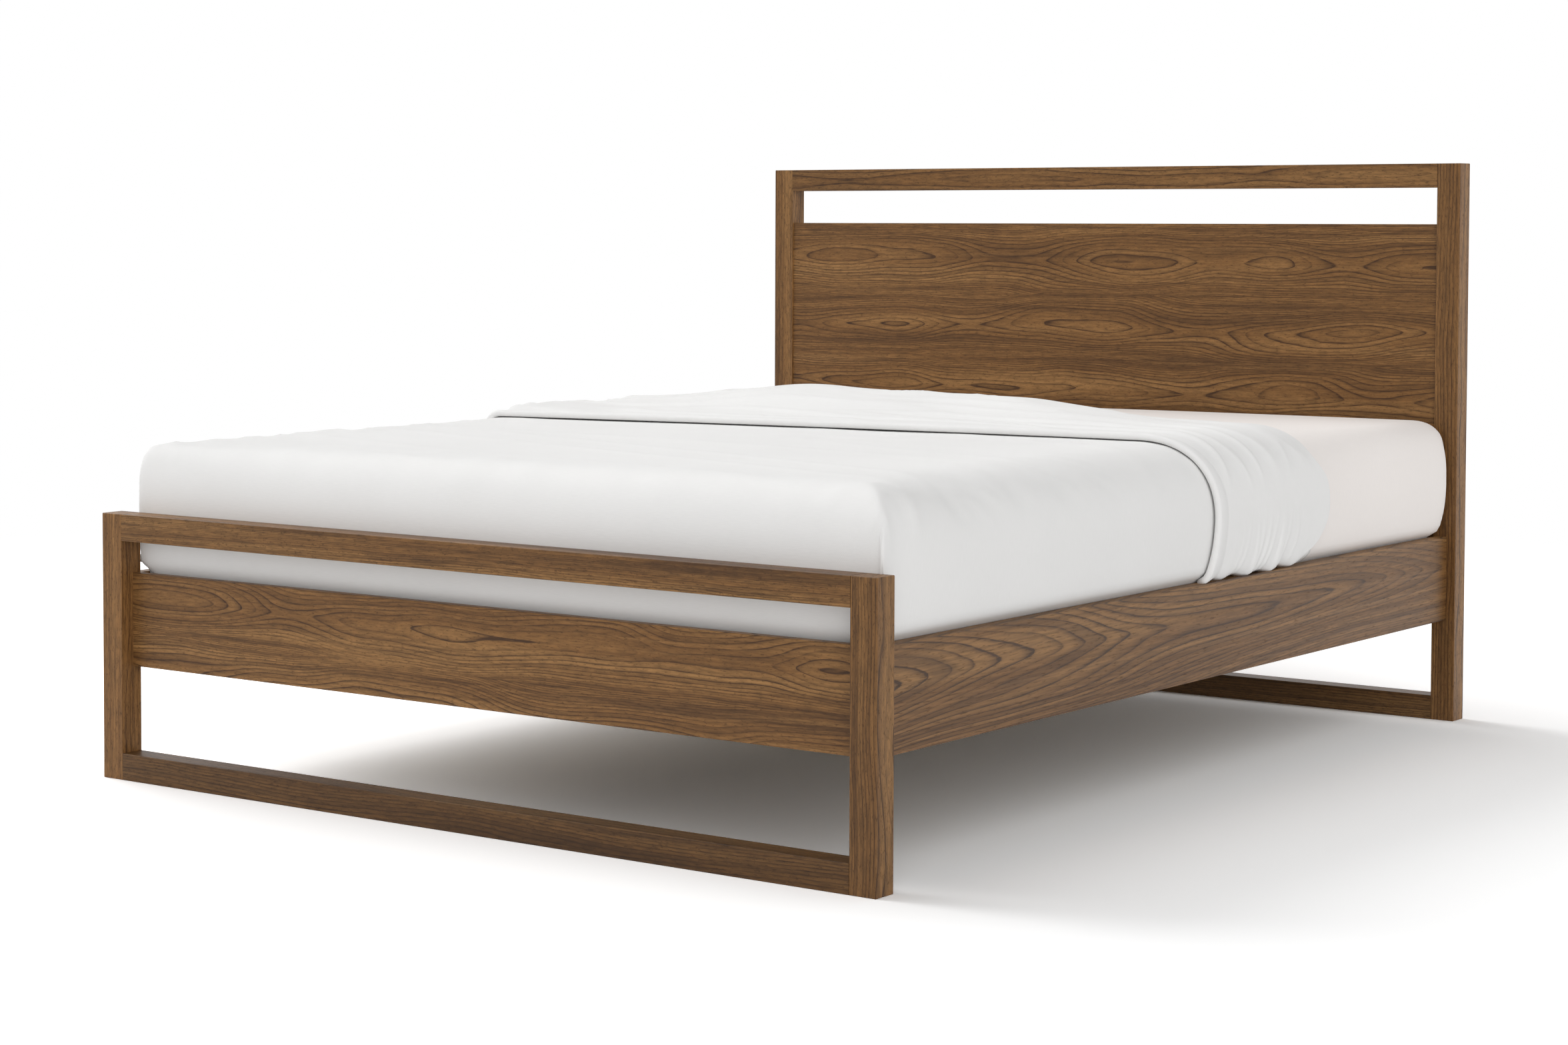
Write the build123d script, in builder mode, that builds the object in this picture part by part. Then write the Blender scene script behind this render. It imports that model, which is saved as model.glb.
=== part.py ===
from build123d import *
import os

# Queen-size walnut panel bed: loop-shaped head and foot frames, side rails hung on hook plates, a slatted
# base on a centre beam, and a mattress made up with a fitted sheet, a coverlet and a turned-down sheet.
# X runs across the bed, +Y from foot to head and +Z up; the origin is on the floor under the middle.

# Mattress: its sides swell above the side rails and draw in below them
mattress_width = 1524
mattress_length = 2026
mattress_height = 278
mattress_side_gap = 8
mattress_end_gap = 7.5
mattress_bottom_draw = 40
mattress_end_draw = 22
mattress_side_bulge = 23
mattress_bulge_height = 175
mattress_shoulder_draw = 9
mattress_shoulder_height = 226
mattress_edge_draw = 100
mattress_edge_drop = 5
mattress_edge_sagitta = 14
mattress_corner_radius = 32

# Bedding layers, from the mattress outwards
layer_gap = 0.3
fitted_sheet_thickness = 1.2
fitted_sheet_hem = 4
coverlet_thickness = 5
coverlet_hem = 20
coverlet_head_edge = 400
corner_pleat_width = 16
corner_pleat_rise = 4
corner_pleat_setback = 26

# Turned-down sheet: a skewed band across the bed, with waves on top and pleats above the right rail
fold_thickness = 8
fold_hem = 4
fold_foot_edge_right = 22
fold_foot_edge_left = -37
fold_head_edge_right = 455
fold_head_edge_left = 560
wave_offsets = (88, 228, 398)
wave_widths = (118, 148, 178)
wave_rises = (14, 26, 44)
wave_sway = 30
wave_span = 1100
wave_centre = -120
pleat_count = 8
pleat_pitch = 44
pleat_width = 36
pleat_rise = 6
pleat_height = 120
pleat_lean = 46
fold_fade = 0.8

# End frames: square posts with cross rails as deep as the posts
post_section = 47.5
cross_rail_height = 47.5
head_height = 1100
foot_height = 472
edge_round = 1.5

# Boards: the end panels and side rails hang at one height above the floor
board_clearance = 200
panel_thickness = 19
head_slot_height = 72
head_panel_recess = 5
foot_panel_height = 166
foot_panel_recess = 28
side_rail_height = 165
side_rail_thickness = 25
side_rail_inset = 18
side_rail_end_gap = 0.5

# Dowels in the end frames
dowel_diameter = 10
dowel_length = 60
dowel_spacing = 22
panel_dowel_diameter = 8
panel_dowel_length = 40
panel_dowel_in_post = 12
head_panel_dowels = 5
foot_panel_dowels = 3
panel_dowel_margin = 30
dowel_room = 0.1
dowel_end_room = 1

# Hook plates in the side rails' ends and slot plates in the posts
plate_width = 16
plate_height = 140
plate_thickness = 3
plate_fit = 0.15
plate_screw_margin = 9
hook_pitch = 60
hook_thickness = 4
hook_neck_height = 16
hook_drop = 12
hook_tongue = 4
hook_room = 0.5
slot_height = 30
pocket_depth = 7

# Slatted base
slat_count = 14
slat_width = 70
slat_thickness = 18
slat_drop = 50
slat_end_gap = 4
slat_end_margin = 15
slat_round = 2
ledger_width = 25
ledger_height = 30
ledger_end_gap = 20
ledger_screw_slat_count = 2

# Centre beam, its hangers and its leg
beam_width = 40
beam_height = 60
beam_room = 0.5
hanger_thickness = 2.5
hanger_depth = 40
hanger_height = 48
hanger_flange = 20
hanger_screw_margin = 10
leg_section = 45
leg_foot_gap = 26
leg_plate_length = 84
leg_plate_thickness = 3
leg_plate_screw_margin = 9
leg_bolt_diameter = 8
leg_bolt_up = 14
leg_bolt_down = 34
bolt_end_room = 2
bolt_room = 0.2

# Levelling foot under the leg
insert_diameter = 12
insert_length = 18
insert_flange_diameter = 20
insert_flange_thickness = 1.5
stem_diameter = 8
stem_length = 44
stem_room = 0.2
stem_end_gap = 0.3
wheel_diameter = 36
wheel_thickness = 5
wheel_gap = 2
wheel_notches = 20
wheel_notch_depth = 1.2
pad_diameter = 40
pad_thickness = 8
pad_socket_depth = 5
leveller_raise = 8

# Countersunk wood screws
screw_diameter = 4
screw_room = 0.1
slat_screw_length = 34
ledger_screw_length = 40
plate_screw_length = 30
hanger_screw_length = 14
leg_plate_screw_length = 20

# Places worked out from the sizes above
inner_half_width = mattress_width / 2 + mattress_side_gap
bed_width = 2 * (inner_half_width + side_rail_thickness + side_rail_inset)
end_face_y = mattress_length / 2 + mattress_end_gap
bed_length = 2 * (end_face_y + post_section)
side_rail_top = board_clearance + side_rail_height
slat_top = side_rail_top - slat_drop
slat_bottom = slat_top - slat_thickness
head_panel_top = head_height - cross_rail_height - head_slot_height
joint_x = bed_width / 2 - post_section
rail_centre_x = inner_half_width + side_rail_thickness / 2
rail_end_y = end_face_y - side_rail_end_gap
plate_centre_z = board_clearance + side_rail_height / 2
post_y = end_face_y + post_section / 2
head_panel_y = end_face_y + head_panel_recess + panel_thickness / 2
foot_panel_y = bed_length / 2 - foot_panel_recess - panel_thickness / 2
beam_bottom = slat_bottom - beam_height
hanger_bottom = beam_bottom - hanger_thickness
hanger_half_width = beam_width / 2 + beam_room + hanger_thickness

LEFT, RIGHT = -1, 1
FOOT, HEAD = -1, 1
SIDES = (("left", LEFT), ("right", RIGHT))
ENDS = (("head", HEAD), ("foot", FOOT))
FRAME_HEIGHT = {HEAD: head_height, FOOT: foot_height}
PANEL_Y = {HEAD: head_panel_y, FOOT: -foot_panel_y}
PANEL_FACE = {end: PANEL_Y[end] - end * panel_thickness / 2 for end in (HEAD, FOOT)}
PANEL_TOP = {HEAD: head_panel_top, FOOT: board_clearance + foot_panel_height}
PANEL_DOWELS = {HEAD: head_panel_dowels, FOOT: foot_panel_dowels}
TOP_ALIGNED = (Align.CENTER, Align.CENTER, Align.MAX)
BASE_ALIGNED = (Align.CENTER, Align.CENTER, Align.MIN)

os.makedirs("parts", exist_ok=True)


def keep(piece, name):
    """Labels a finished piece and writes it under its name."""
    piece.part.label = name
    export_step(piece.part, f"parts/{name}.step")


def screws(planes, length, room=0, mode=Mode.ADD):
    """Countersunk wood screws, heads flush with these planes; room widens them into their holes."""
    radius = screw_diameter / 2
    with Locations(*planes):
        Cylinder(radius + room, length + room, align=TOP_ALIGNED, mode=mode)
        Cone(radius + room, 2 * radius + room, radius, align=TOP_ALIGNED, mode=mode)


def screw_holes(planes, length):
    screws(planes, length, screw_room, Mode.SUBTRACT)


# End frames: posts, cross rails and panels on dowels


def cross_rail_z(end):
    """The middle heights of an end frame's floor rail and top rail."""
    return cross_rail_height / 2, FRAME_HEIGHT[end] - cross_rail_height / 2


def rail_dowel_places(end, heights, sides=(LEFT, RIGHT)):
    """Two dowels, one above the other, at each joint between a cross rail and a post."""
    return [
        (side * joint_x, end * post_y, z + step * dowel_spacing / 2)
        for side in sides
        for z in heights
        for step in (-1, 1)
    ]


def panel_dowel_places(end, sides=(LEFT, RIGHT)):
    """A row of dowels up each end of a panel, more in the panel than in the post."""
    x = joint_x + panel_dowel_in_post - panel_dowel_length / 2
    low, high = board_clearance + panel_dowel_margin, PANEL_TOP[end] - panel_dowel_margin
    count = PANEL_DOWELS[end]
    step = (high - low) / (count - 1)
    return [(side * x, PANEL_Y[end], low + i * step) for side in sides for i in range(count)]


def dowels(places, diameter, length, room=0, end_room=0, mode=Mode.ADD):
    """Dowels across the joint faces at these places; the rooms widen them into their holes."""
    with Locations(*places):
        Cylinder(
            diameter / 2 + room, length + 2 * end_room, rotation=(0, 90, 0), mode=mode
        )


def rail_dowel_holes(places):
    dowels(places, dowel_diameter, dowel_length, dowel_room, dowel_end_room, Mode.SUBTRACT)


def panel_dowel_holes(places):
    dowels(
        places, panel_dowel_diameter, panel_dowel_length, dowel_room, dowel_end_room, Mode.SUBTRACT
    )


def upright_plane(x, y, z, facing):
    """An upright plane across the bed, local Y up, its normal along facing times Y."""
    return Plane((x, y, z), (-facing, 0, 0), (0, facing, 0))


def plate_plane(side, end, y, facing):
    """The outer face of a hook or slot plate."""
    return upright_plane(side * rail_centre_x, end * y, plate_centre_z, facing)


def hook_plane(side, end, y):
    """The upright plane of a plate's hooks: local X towards the post and local Y up."""
    return Plane((side * rail_centre_x, end * y, plate_centre_z), (0, end, 0), (end, 0, 0))


def slot_y(hook):
    """The middle of the slot that takes a hook, up from the plate's middle; the neck rests at its foot."""
    return hook - hook_neck_height / 2 - hook_room + slot_height / 2


def plate_screw_planes(face):
    """Three screws up a plate, heads flush with its face."""
    reach = plate_height / 2 - plate_screw_margin
    return [face * Location((0, y, 0)) for y in (-reach, 0, reach)]


def hanger_screw_planes(end):
    """Two screws through each flange of a beam hanger, heads flush with the flange."""
    x = hanger_half_width + hanger_flange / 2
    low, high = hanger_bottom + hanger_screw_margin, hanger_bottom + hanger_height - hanger_screw_margin
    y = PANEL_FACE[end] - end * hanger_thickness
    return [upright_plane(side * x, y, z, -end) for side in (LEFT, RIGHT) for z in (low, high)]


hook_y = (-hook_pitch / 2, hook_pitch / 2)

for end_name, end in ENDS:
    for side_name, side in SIDES:
        # A post: dowel holes on its inner side, and on its mattress side the bed for a slot plate
        with BuildPart() as post:
            with BuildSketch():
                with Locations((side * (bed_width - post_section) / 2, end * post_y)):
                    Rectangle(post_section, post_section)
            extrude(amount=FRAME_HEIGHT[end])
            fillet(post.edges(), edge_round)
            rail_dowel_holes(rail_dowel_places(end, cross_rail_z(end), (side,)))
            panel_dowel_holes(panel_dowel_places(end, (side,)))
            slot_face = plate_plane(side, end, end_face_y, -end)
            with BuildSketch(slot_face):
                Rectangle(plate_width + 2 * plate_fit, plate_height + 2 * plate_fit)
            extrude(amount=-plate_thickness, mode=Mode.SUBTRACT)
            with BuildSketch(slot_face.offset(-plate_thickness)):
                with Locations(*[(0, slot_y(y) - hook_drop / 2) for y in hook_y]):
                    Rectangle(hook_thickness + 4 * hook_room, slot_height + hook_drop)
            extrude(amount=-pocket_depth, mode=Mode.SUBTRACT)
            screw_holes(plate_screw_planes(slot_face), plate_screw_length)
        keep(post, f"{end_name}_post_{side_name}")

    # Cross rails between the posts, along the floor and along the top
    for rail_name, z in zip(("floor_rail", "top_rail"), cross_rail_z(end)):
        with BuildPart() as cross_rail:
            with Locations((0, end * post_y, z)):
                Box(2 * joint_x, post_section, cross_rail_height)
            fillet(cross_rail.edges().filter_by(Axis.X), edge_round)
            rail_dowel_holes(rail_dowel_places(end, (z,)))
        keep(cross_rail, f"{end_name}_{rail_name}")

    # The panel between the posts, its long edges eased
    with BuildPart() as panel:
        with Locations((0, PANEL_Y[end], board_clearance)):
            Box(2 * joint_x, panel_thickness, PANEL_TOP[end] - board_clearance, align=BASE_ALIGNED)
        fillet(panel.edges().filter_by(Axis.X), edge_round)
        panel_dowel_holes(panel_dowel_places(end))
        screw_holes(hanger_screw_planes(end), hanger_screw_length)
    keep(panel, f"{end_name}_panel")

    # The dowels of this end frame
    with BuildPart() as frame_dowels:
        dowels(rail_dowel_places(end, cross_rail_z(end)), dowel_diameter, dowel_length)
        dowels(panel_dowel_places(end), panel_dowel_diameter, panel_dowel_length)
    keep(frame_dowels, f"{end_name}_dowels")


# Side rails, with their hook plates and the slot plates that take them

slat_reach = end_face_y - slat_end_margin - slat_width / 2
slat_pitch = 2 * slat_reach / (slat_count - 1)
slat_places = [-slat_reach + i * slat_pitch for i in range(slat_count)]
ledger_face_x = inner_half_width - ledger_width


def ledger_screw_planes(side):
    """Screws through a ledger into its side rail, in the gaps between slats."""
    z = slat_bottom - ledger_height / 2
    gaps = [y + slat_pitch / 2 for y in slat_places[:-1:ledger_screw_slat_count]]
    return [Plane((side * ledger_face_x, y, z), (0, side, 0), (-side, 0, 0)) for y in gaps]


neck_length = side_rail_end_gap + plate_thickness + hook_room
hook_reach = neck_length + hook_tongue
neck_half = hook_neck_height / 2
hook_outline = (
    (-plate_thickness / 2, neck_half),
    (hook_reach, neck_half),
    (hook_reach, -neck_half - hook_drop),
    (neck_length, -neck_half - hook_drop),
    (neck_length, -neck_half),
    (-plate_thickness / 2, -neck_half),
)
hook_faces, slot_faces = [], []

for side_name, side in SIDES:
    with BuildPart() as side_rail:
        with Locations((side * rail_centre_x, 0, board_clearance)):
            Box(side_rail_thickness, 2 * rail_end_y, side_rail_height, align=BASE_ALIGNED)
        fillet(side_rail.edges().filter_by(Axis.Y), edge_round)
        for end in (HEAD, FOOT):
            hook_face = plate_plane(side, end, rail_end_y, end)
            with BuildSketch(hook_face):
                Rectangle(plate_width + 2 * plate_fit, plate_height + 2 * plate_fit)
            extrude(amount=-plate_thickness, mode=Mode.SUBTRACT)
            screw_holes(plate_screw_planes(hook_face), plate_screw_length)
        screw_holes(ledger_screw_planes(side), ledger_screw_length)
    keep(side_rail, f"side_rail_{side_name}")

    for end_name, end in ENDS:
        # A hook plate let into the rail's end
        hook_face = plate_plane(side, end, rail_end_y, end)
        with BuildPart() as hook_plate:
            with BuildSketch(hook_face):
                Rectangle(plate_width, plate_height)
            extrude(amount=-plate_thickness)
            with BuildSketch(hook_plane(side, end, rail_end_y)):
                with Locations(*[(0, y) for y in hook_y]):
                    Polygon(*hook_outline, align=None)
            extrude(amount=hook_thickness / 2, both=True)
            screw_holes(plate_screw_planes(hook_face), plate_screw_length)
        keep(hook_plate, f"hook_plate_{end_name}_{side_name}")
        hook_faces += plate_screw_planes(hook_face)

        # A slot plate let into the post's mattress side
        slot_face = plate_plane(side, end, end_face_y, -end)
        with BuildPart() as slot_plate:
            with BuildSketch(slot_face):
                Rectangle(plate_width, plate_height)
                with Locations(*[(0, slot_y(y)) for y in hook_y]):
                    Rectangle(hook_thickness + 2 * hook_room, slot_height, mode=Mode.SUBTRACT)
            extrude(amount=-plate_thickness)
            screw_holes(plate_screw_planes(slot_face), plate_screw_length)
        keep(slot_plate, f"slot_plate_{end_name}_{side_name}")
        slot_faces += plate_screw_planes(slot_face)

with BuildPart() as hook_plate_screws:
    screws(hook_faces, plate_screw_length)
keep(hook_plate_screws, "hook_plate_screws")

with BuildPart() as slot_plate_screws:
    screws(slot_faces, plate_screw_length)
keep(slot_plate_screws, "slot_plate_screws")


# Ledgers along the side rails, and the slats across them


def slat_screw_planes(places, sides=(LEFT, RIGHT)):
    """A screw down through each end of a slat, midway along its seat on the ledger."""
    x = inner_half_width - (ledger_width + slat_end_gap) / 2
    return [Plane((side * x, y, slat_top)) for side in sides for y in places]


for side_name, side in SIDES:
    with BuildPart() as ledger:
        with Locations((side * (ledger_face_x + ledger_width / 2), 0, slat_bottom)):
            Box(ledger_width, 2 * (end_face_y - ledger_end_gap), ledger_height, align=TOP_ALIGNED)
        screw_holes(ledger_screw_planes(side), ledger_screw_length)
        screw_holes(slat_screw_planes(slat_places, (side,)), slat_screw_length)
    keep(ledger, f"ledger_{side_name}")

with BuildPart() as ledger_screws:
    for side in (LEFT, RIGHT):
        screws(ledger_screw_planes(side), ledger_screw_length)
keep(ledger_screws, "ledger_screws")

for number, y in enumerate(slat_places, 1):
    with BuildPart() as slat:
        with Locations((0, y, slat_bottom)):
            Box(2 * (inner_half_width - slat_end_gap), slat_width, slat_thickness, align=BASE_ALIGNED)
        fillet(slat.edges().filter_by(Axis.X), slat_round)
        screw_holes(slat_screw_planes((y,)), slat_screw_length)
    keep(slat, f"slat_{number:02d}")

with BuildPart() as slat_screws:
    screws(slat_screw_planes(slat_places), slat_screw_length)
keep(slat_screws, "slat_screws")


# Centre beam in its two hangers

beam_middle = (PANEL_FACE[HEAD] + PANEL_FACE[FOOT]) / 2
beam_length = PANEL_FACE[HEAD] - PANEL_FACE[FOOT] - 2 * beam_room
leg_plate_bottom = beam_bottom - leg_plate_thickness
leg_plate_screw_planes = [
    Plane(
        (
            x * (beam_width / 2 - leg_plate_screw_margin),
            beam_middle + y * (leg_plate_length / 2 - leg_plate_screw_margin),
            leg_plate_bottom,
        ),
        (1, 0, 0),
        (0, 0, -1),
    )
    for x in (-1, 1)
    for y in (-1, 1)
]
bolt_hole_radius = leg_bolt_diameter / 2 + bolt_room

with BuildPart() as centre_beam:
    with Locations((0, beam_middle, beam_bottom)):
        Box(beam_width, beam_length, beam_height, align=BASE_ALIGNED)
        Cylinder(bolt_hole_radius, leg_bolt_up + bolt_end_room, align=BASE_ALIGNED, mode=Mode.SUBTRACT)
    screw_holes(leg_plate_screw_planes, leg_plate_screw_length)
keep(centre_beam, "centre_beam")

for end_name, end in ENDS:
    with BuildPart() as hanger:
        # The flanges against the panel, then the stirrup that carries the beam
        hanger_face = upright_plane(0, PANEL_FACE[end], hanger_bottom, -end)
        with BuildSketch(hanger_face):
            with Locations((0, hanger_height / 2)):
                Rectangle(2 * (hanger_half_width + hanger_flange), hanger_height)
            with Locations((0, hanger_height / 2 + hanger_thickness)):
                Rectangle(beam_width + 2 * beam_room, hanger_height, mode=Mode.SUBTRACT)
        extrude(amount=hanger_thickness)
        with BuildSketch(hanger_face):
            with Locations((0, hanger_height / 2)):
                Rectangle(2 * hanger_half_width, hanger_height)
            with Locations((0, hanger_height / 2 + hanger_thickness)):
                Rectangle(beam_width + 2 * beam_room, hanger_height, mode=Mode.SUBTRACT)
        extrude(amount=hanger_depth)
        screw_holes(hanger_screw_planes(end), hanger_screw_length)
    keep(hanger, f"beam_hanger_{end_name}")

with BuildPart() as hanger_screws:
    for end in (HEAD, FOOT):
        screws(hanger_screw_planes(end), hanger_screw_length)
keep(hanger_screws, "hanger_screws")


# Centre leg on its plate and bolt, with a levelling foot

with BuildPart() as leg_plate:
    with Locations((0, beam_middle, beam_bottom)):
        Box(beam_width, leg_plate_length, leg_plate_thickness, align=TOP_ALIGNED)
        Cylinder(bolt_hole_radius, leg_plate_thickness, align=TOP_ALIGNED, mode=Mode.SUBTRACT)
    screw_holes(leg_plate_screw_planes, leg_plate_screw_length)
keep(leg_plate, "leg_plate")

with BuildPart() as leg_plate_screws:
    screws(leg_plate_screw_planes, leg_plate_screw_length)
keep(leg_plate_screws, "leg_plate_screws")

with BuildPart() as leg_bolt:
    with Locations((0, beam_middle, leg_plate_bottom - leg_bolt_down)):
        Cylinder(
            leg_bolt_diameter / 2,
            leg_bolt_down + leg_plate_thickness + leg_bolt_up,
            align=BASE_ALIGNED,
        )
keep(leg_bolt, "leg_bolt")

stem_bottom = pad_thickness - pad_socket_depth + stem_end_gap
stem_top = stem_bottom + stem_length
stem_hole_radius = stem_diameter / 2 + stem_room
stem_hole_depth = stem_top + leveller_raise + bolt_end_room - leg_foot_gap

with BuildPart() as centre_leg:
    with Locations((0, beam_middle, leg_foot_gap)):
        Box(leg_section, leg_section, leg_plate_bottom - leg_foot_gap, align=BASE_ALIGNED)
        Cylinder(stem_hole_radius, stem_hole_depth, align=BASE_ALIGNED, mode=Mode.SUBTRACT)
        Cylinder(
            insert_diameter / 2 + screw_room, insert_length, align=BASE_ALIGNED, mode=Mode.SUBTRACT
        )
    fillet(centre_leg.edges().filter_by(Axis.Z).group_by(Axis.Z)[-1], slat_round)
    with Locations((0, beam_middle, leg_plate_bottom)):
        Cylinder(
            bolt_hole_radius, leg_bolt_down + bolt_end_room, align=TOP_ALIGNED, mode=Mode.SUBTRACT
        )
keep(centre_leg, "centre_leg")

with BuildPart() as leveller_insert:
    with Locations((0, beam_middle, leg_foot_gap)):
        Cylinder(insert_diameter / 2, insert_length, align=BASE_ALIGNED)
        Cylinder(insert_flange_diameter / 2, insert_flange_thickness, align=TOP_ALIGNED)
        Cylinder(stem_hole_radius, 2 * insert_length, mode=Mode.SUBTRACT)
keep(leveller_insert, "leveller_insert")

with BuildPart() as leveller_stem:
    with Locations((0, beam_middle, stem_bottom)):
        Cylinder(stem_diameter / 2, stem_length, align=BASE_ALIGNED)
    # The notched wheel that turns it by hand
    with BuildSketch(Plane((0, beam_middle, pad_thickness + wheel_gap))):
        Circle(wheel_diameter / 2)
        with PolarLocations(wheel_diameter / 2, wheel_notches):
            Circle(wheel_notch_depth, mode=Mode.SUBTRACT)
    extrude(amount=wheel_thickness)
keep(leveller_stem, "leveller_stem")

with BuildPart() as leveller_pad:
    with Locations((0, beam_middle, 0)):
        Cylinder(pad_diameter / 2, pad_thickness, align=BASE_ALIGNED)
    fillet(leveller_pad.edges().group_by(Axis.Z)[-1], slat_round)
    with Locations((0, beam_middle, pad_thickness)):
        Cylinder(stem_hole_radius, pad_socket_depth, align=TOP_ALIGNED, mode=Mode.SUBTRACT)
keep(leveller_pad, "leveller_pad")


# Mattress: crowned on top, full at the sides, drawn in underneath

mattress_top = slat_top + mattress_height
mattress_half_width = mattress_width / 2 + mattress_side_bulge
mattress_half_length = mattress_length / 2
bulge_z = slat_top + mattress_bulge_height
shoulder_z = slat_top + mattress_shoulder_height
edge_z = mattress_top - mattress_edge_drop
side_arc = ThreePointArc(
    (mattress_width / 2 - mattress_bottom_draw, slat_top),
    (mattress_half_width, bulge_z),
    (mattress_half_width - mattress_shoulder_draw, shoulder_z),
    mode=Mode.PRIVATE,
)


def side_x(z, skin):
    """The half width of the mattress's side at a height, grown by a skin."""
    centre = side_arc.arc_center
    return centre.X + (side_arc.radius**2 - (z - centre.Y) ** 2) ** 0.5 + skin


def crown_z(x, skin):
    """The height of the mattress's crown at a distance from its middle, grown by a skin."""
    share = x / (mattress_half_width - mattress_edge_draw)
    return mattress_top - mattress_edge_drop * share**2 + skin


def upholstered_profile(plane, half, bottom_half, skin):
    """The mattress's outline across one direction, grown by a skin."""
    bottom = bottom_half + skin
    shoulder = half - mattress_shoulder_draw + skin
    edge = half - mattress_edge_draw
    with BuildSketch(plane) as profile:
        with BuildLine():
            Line((-bottom, slat_top), (bottom, slat_top))
            ThreePointArc((bottom, slat_top), (half + skin, bulge_z), (shoulder, shoulder_z))
            SagittaArc((shoulder, shoulder_z), (edge, edge_z + skin), -mattress_edge_sagitta)
            ThreePointArc((edge, edge_z + skin), (0, mattress_top + skin), (-edge, edge_z + skin))
            SagittaArc((-edge, edge_z + skin), (-shoulder, shoulder_z), -mattress_edge_sagitta)
            ThreePointArc((-shoulder, shoulder_z), (-half - skin, bulge_z), (-bottom, slat_top))
        make_face()
    return profile.sketch


def mattress_form(skin):
    """The mattress's whole form grown by a skin: what its width, length and plan outlines share."""
    across = upholstered_profile(
        Plane.XZ, mattress_half_width, mattress_width / 2 - mattress_bottom_draw, skin
    )
    along = upholstered_profile(
        Plane.YZ, mattress_half_length, mattress_half_length - mattress_end_draw, skin
    )
    with BuildPart() as form:
        extrude(across, amount=bed_length / 2, both=True)
        extrude(along, amount=bed_width / 2, both=True, mode=Mode.INTERSECT)
        with BuildSketch():
            RectangleRounded(
                2 * (mattress_half_width + skin),
                2 * (mattress_half_length + skin),
                mattress_corner_radius + skin,
            )
        extrude(amount=2 * mattress_top, mode=Mode.INTERSECT)
    return form.part


def lens(plane, low, high, apex):
    """A fold's section: a straight base and an arc over it."""
    with BuildSketch(plane) as section:
        with BuildLine():
            Line(low, high)
            ThreePointArc(high, apex, low)
        make_face()
    return section.sketch


def side_fold(side, skin, y_low, y_high, z_low, z_high, width, rise):
    """Sections of an upright fold on the bedding's side, full at its foot and dying out upwards."""
    sections = []
    for share in (0, 0.5, 1):
        swell = 1 - fold_fade * share
        z = z_low + share * (z_high - z_low)
        y = y_low + share * (y_high - y_low)
        x = side_x(z, skin)
        reach = swell * width / 2
        low, high, apex = (side * x, y - reach), (side * x, y + reach), (side * (x + swell * rise), y)
        sections.append(lens(Plane.XY.offset(z), low, high, apex))
    return sections


def fold_edge(x, right, left):
    """Where an edge of the turned-down sheet lies, which runs aslant from right to left."""
    return left + (right - left) * (x + bed_width / 2) / bed_width


fitted_sheet_skin = layer_gap + fitted_sheet_thickness
coverlet_inner_skin = fitted_sheet_skin + layer_gap
coverlet_skin = coverlet_inner_skin + coverlet_thickness
fold_inner_skin = coverlet_skin + layer_gap
fold_skin = fold_inner_skin + fold_thickness

with BuildPart() as mattress:
    add(mattress_form(0))
keep(mattress, "mattress")

# The fitted sheet: a thin skin down to an elastic hem
with BuildPart() as fitted_sheet:
    add(mattress_form(fitted_sheet_skin))
    add(mattress_form(layer_gap), mode=Mode.SUBTRACT)
    with Locations((0, 0, slat_top + fitted_sheet_hem)):
        Box(bed_width, bed_length, head_height, align=BASE_ALIGNED, mode=Mode.INTERSECT)
keep(fitted_sheet, "fitted_sheet")

# The coverlet: tucked in at the foot and sides, with a mitred pleat up each foot corner
with BuildPart() as coverlet:
    add(mattress_form(coverlet_skin))
    add(mattress_form(coverlet_inner_skin), mode=Mode.SUBTRACT)
    with Locations((0, coverlet_head_edge, slat_top + coverlet_hem)):
        Box(
            bed_width,
            bed_length,
            head_height,
            align=(Align.CENTER, Align.MAX, Align.MIN),
            mode=Mode.INTERSECT,
        )
    for side in (LEFT, RIGHT):
        pleat_y = -mattress_half_length + corner_pleat_setback
        loft(
            side_fold(
                side,
                (coverlet_inner_skin + coverlet_skin) / 2,
                pleat_y,
                pleat_y,
                side_rail_top + fold_hem,
                shoulder_z,
                corner_pleat_width,
                coverlet_thickness / 2 + corner_pleat_rise,
            )
        )
keep(coverlet, "coverlet")

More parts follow.
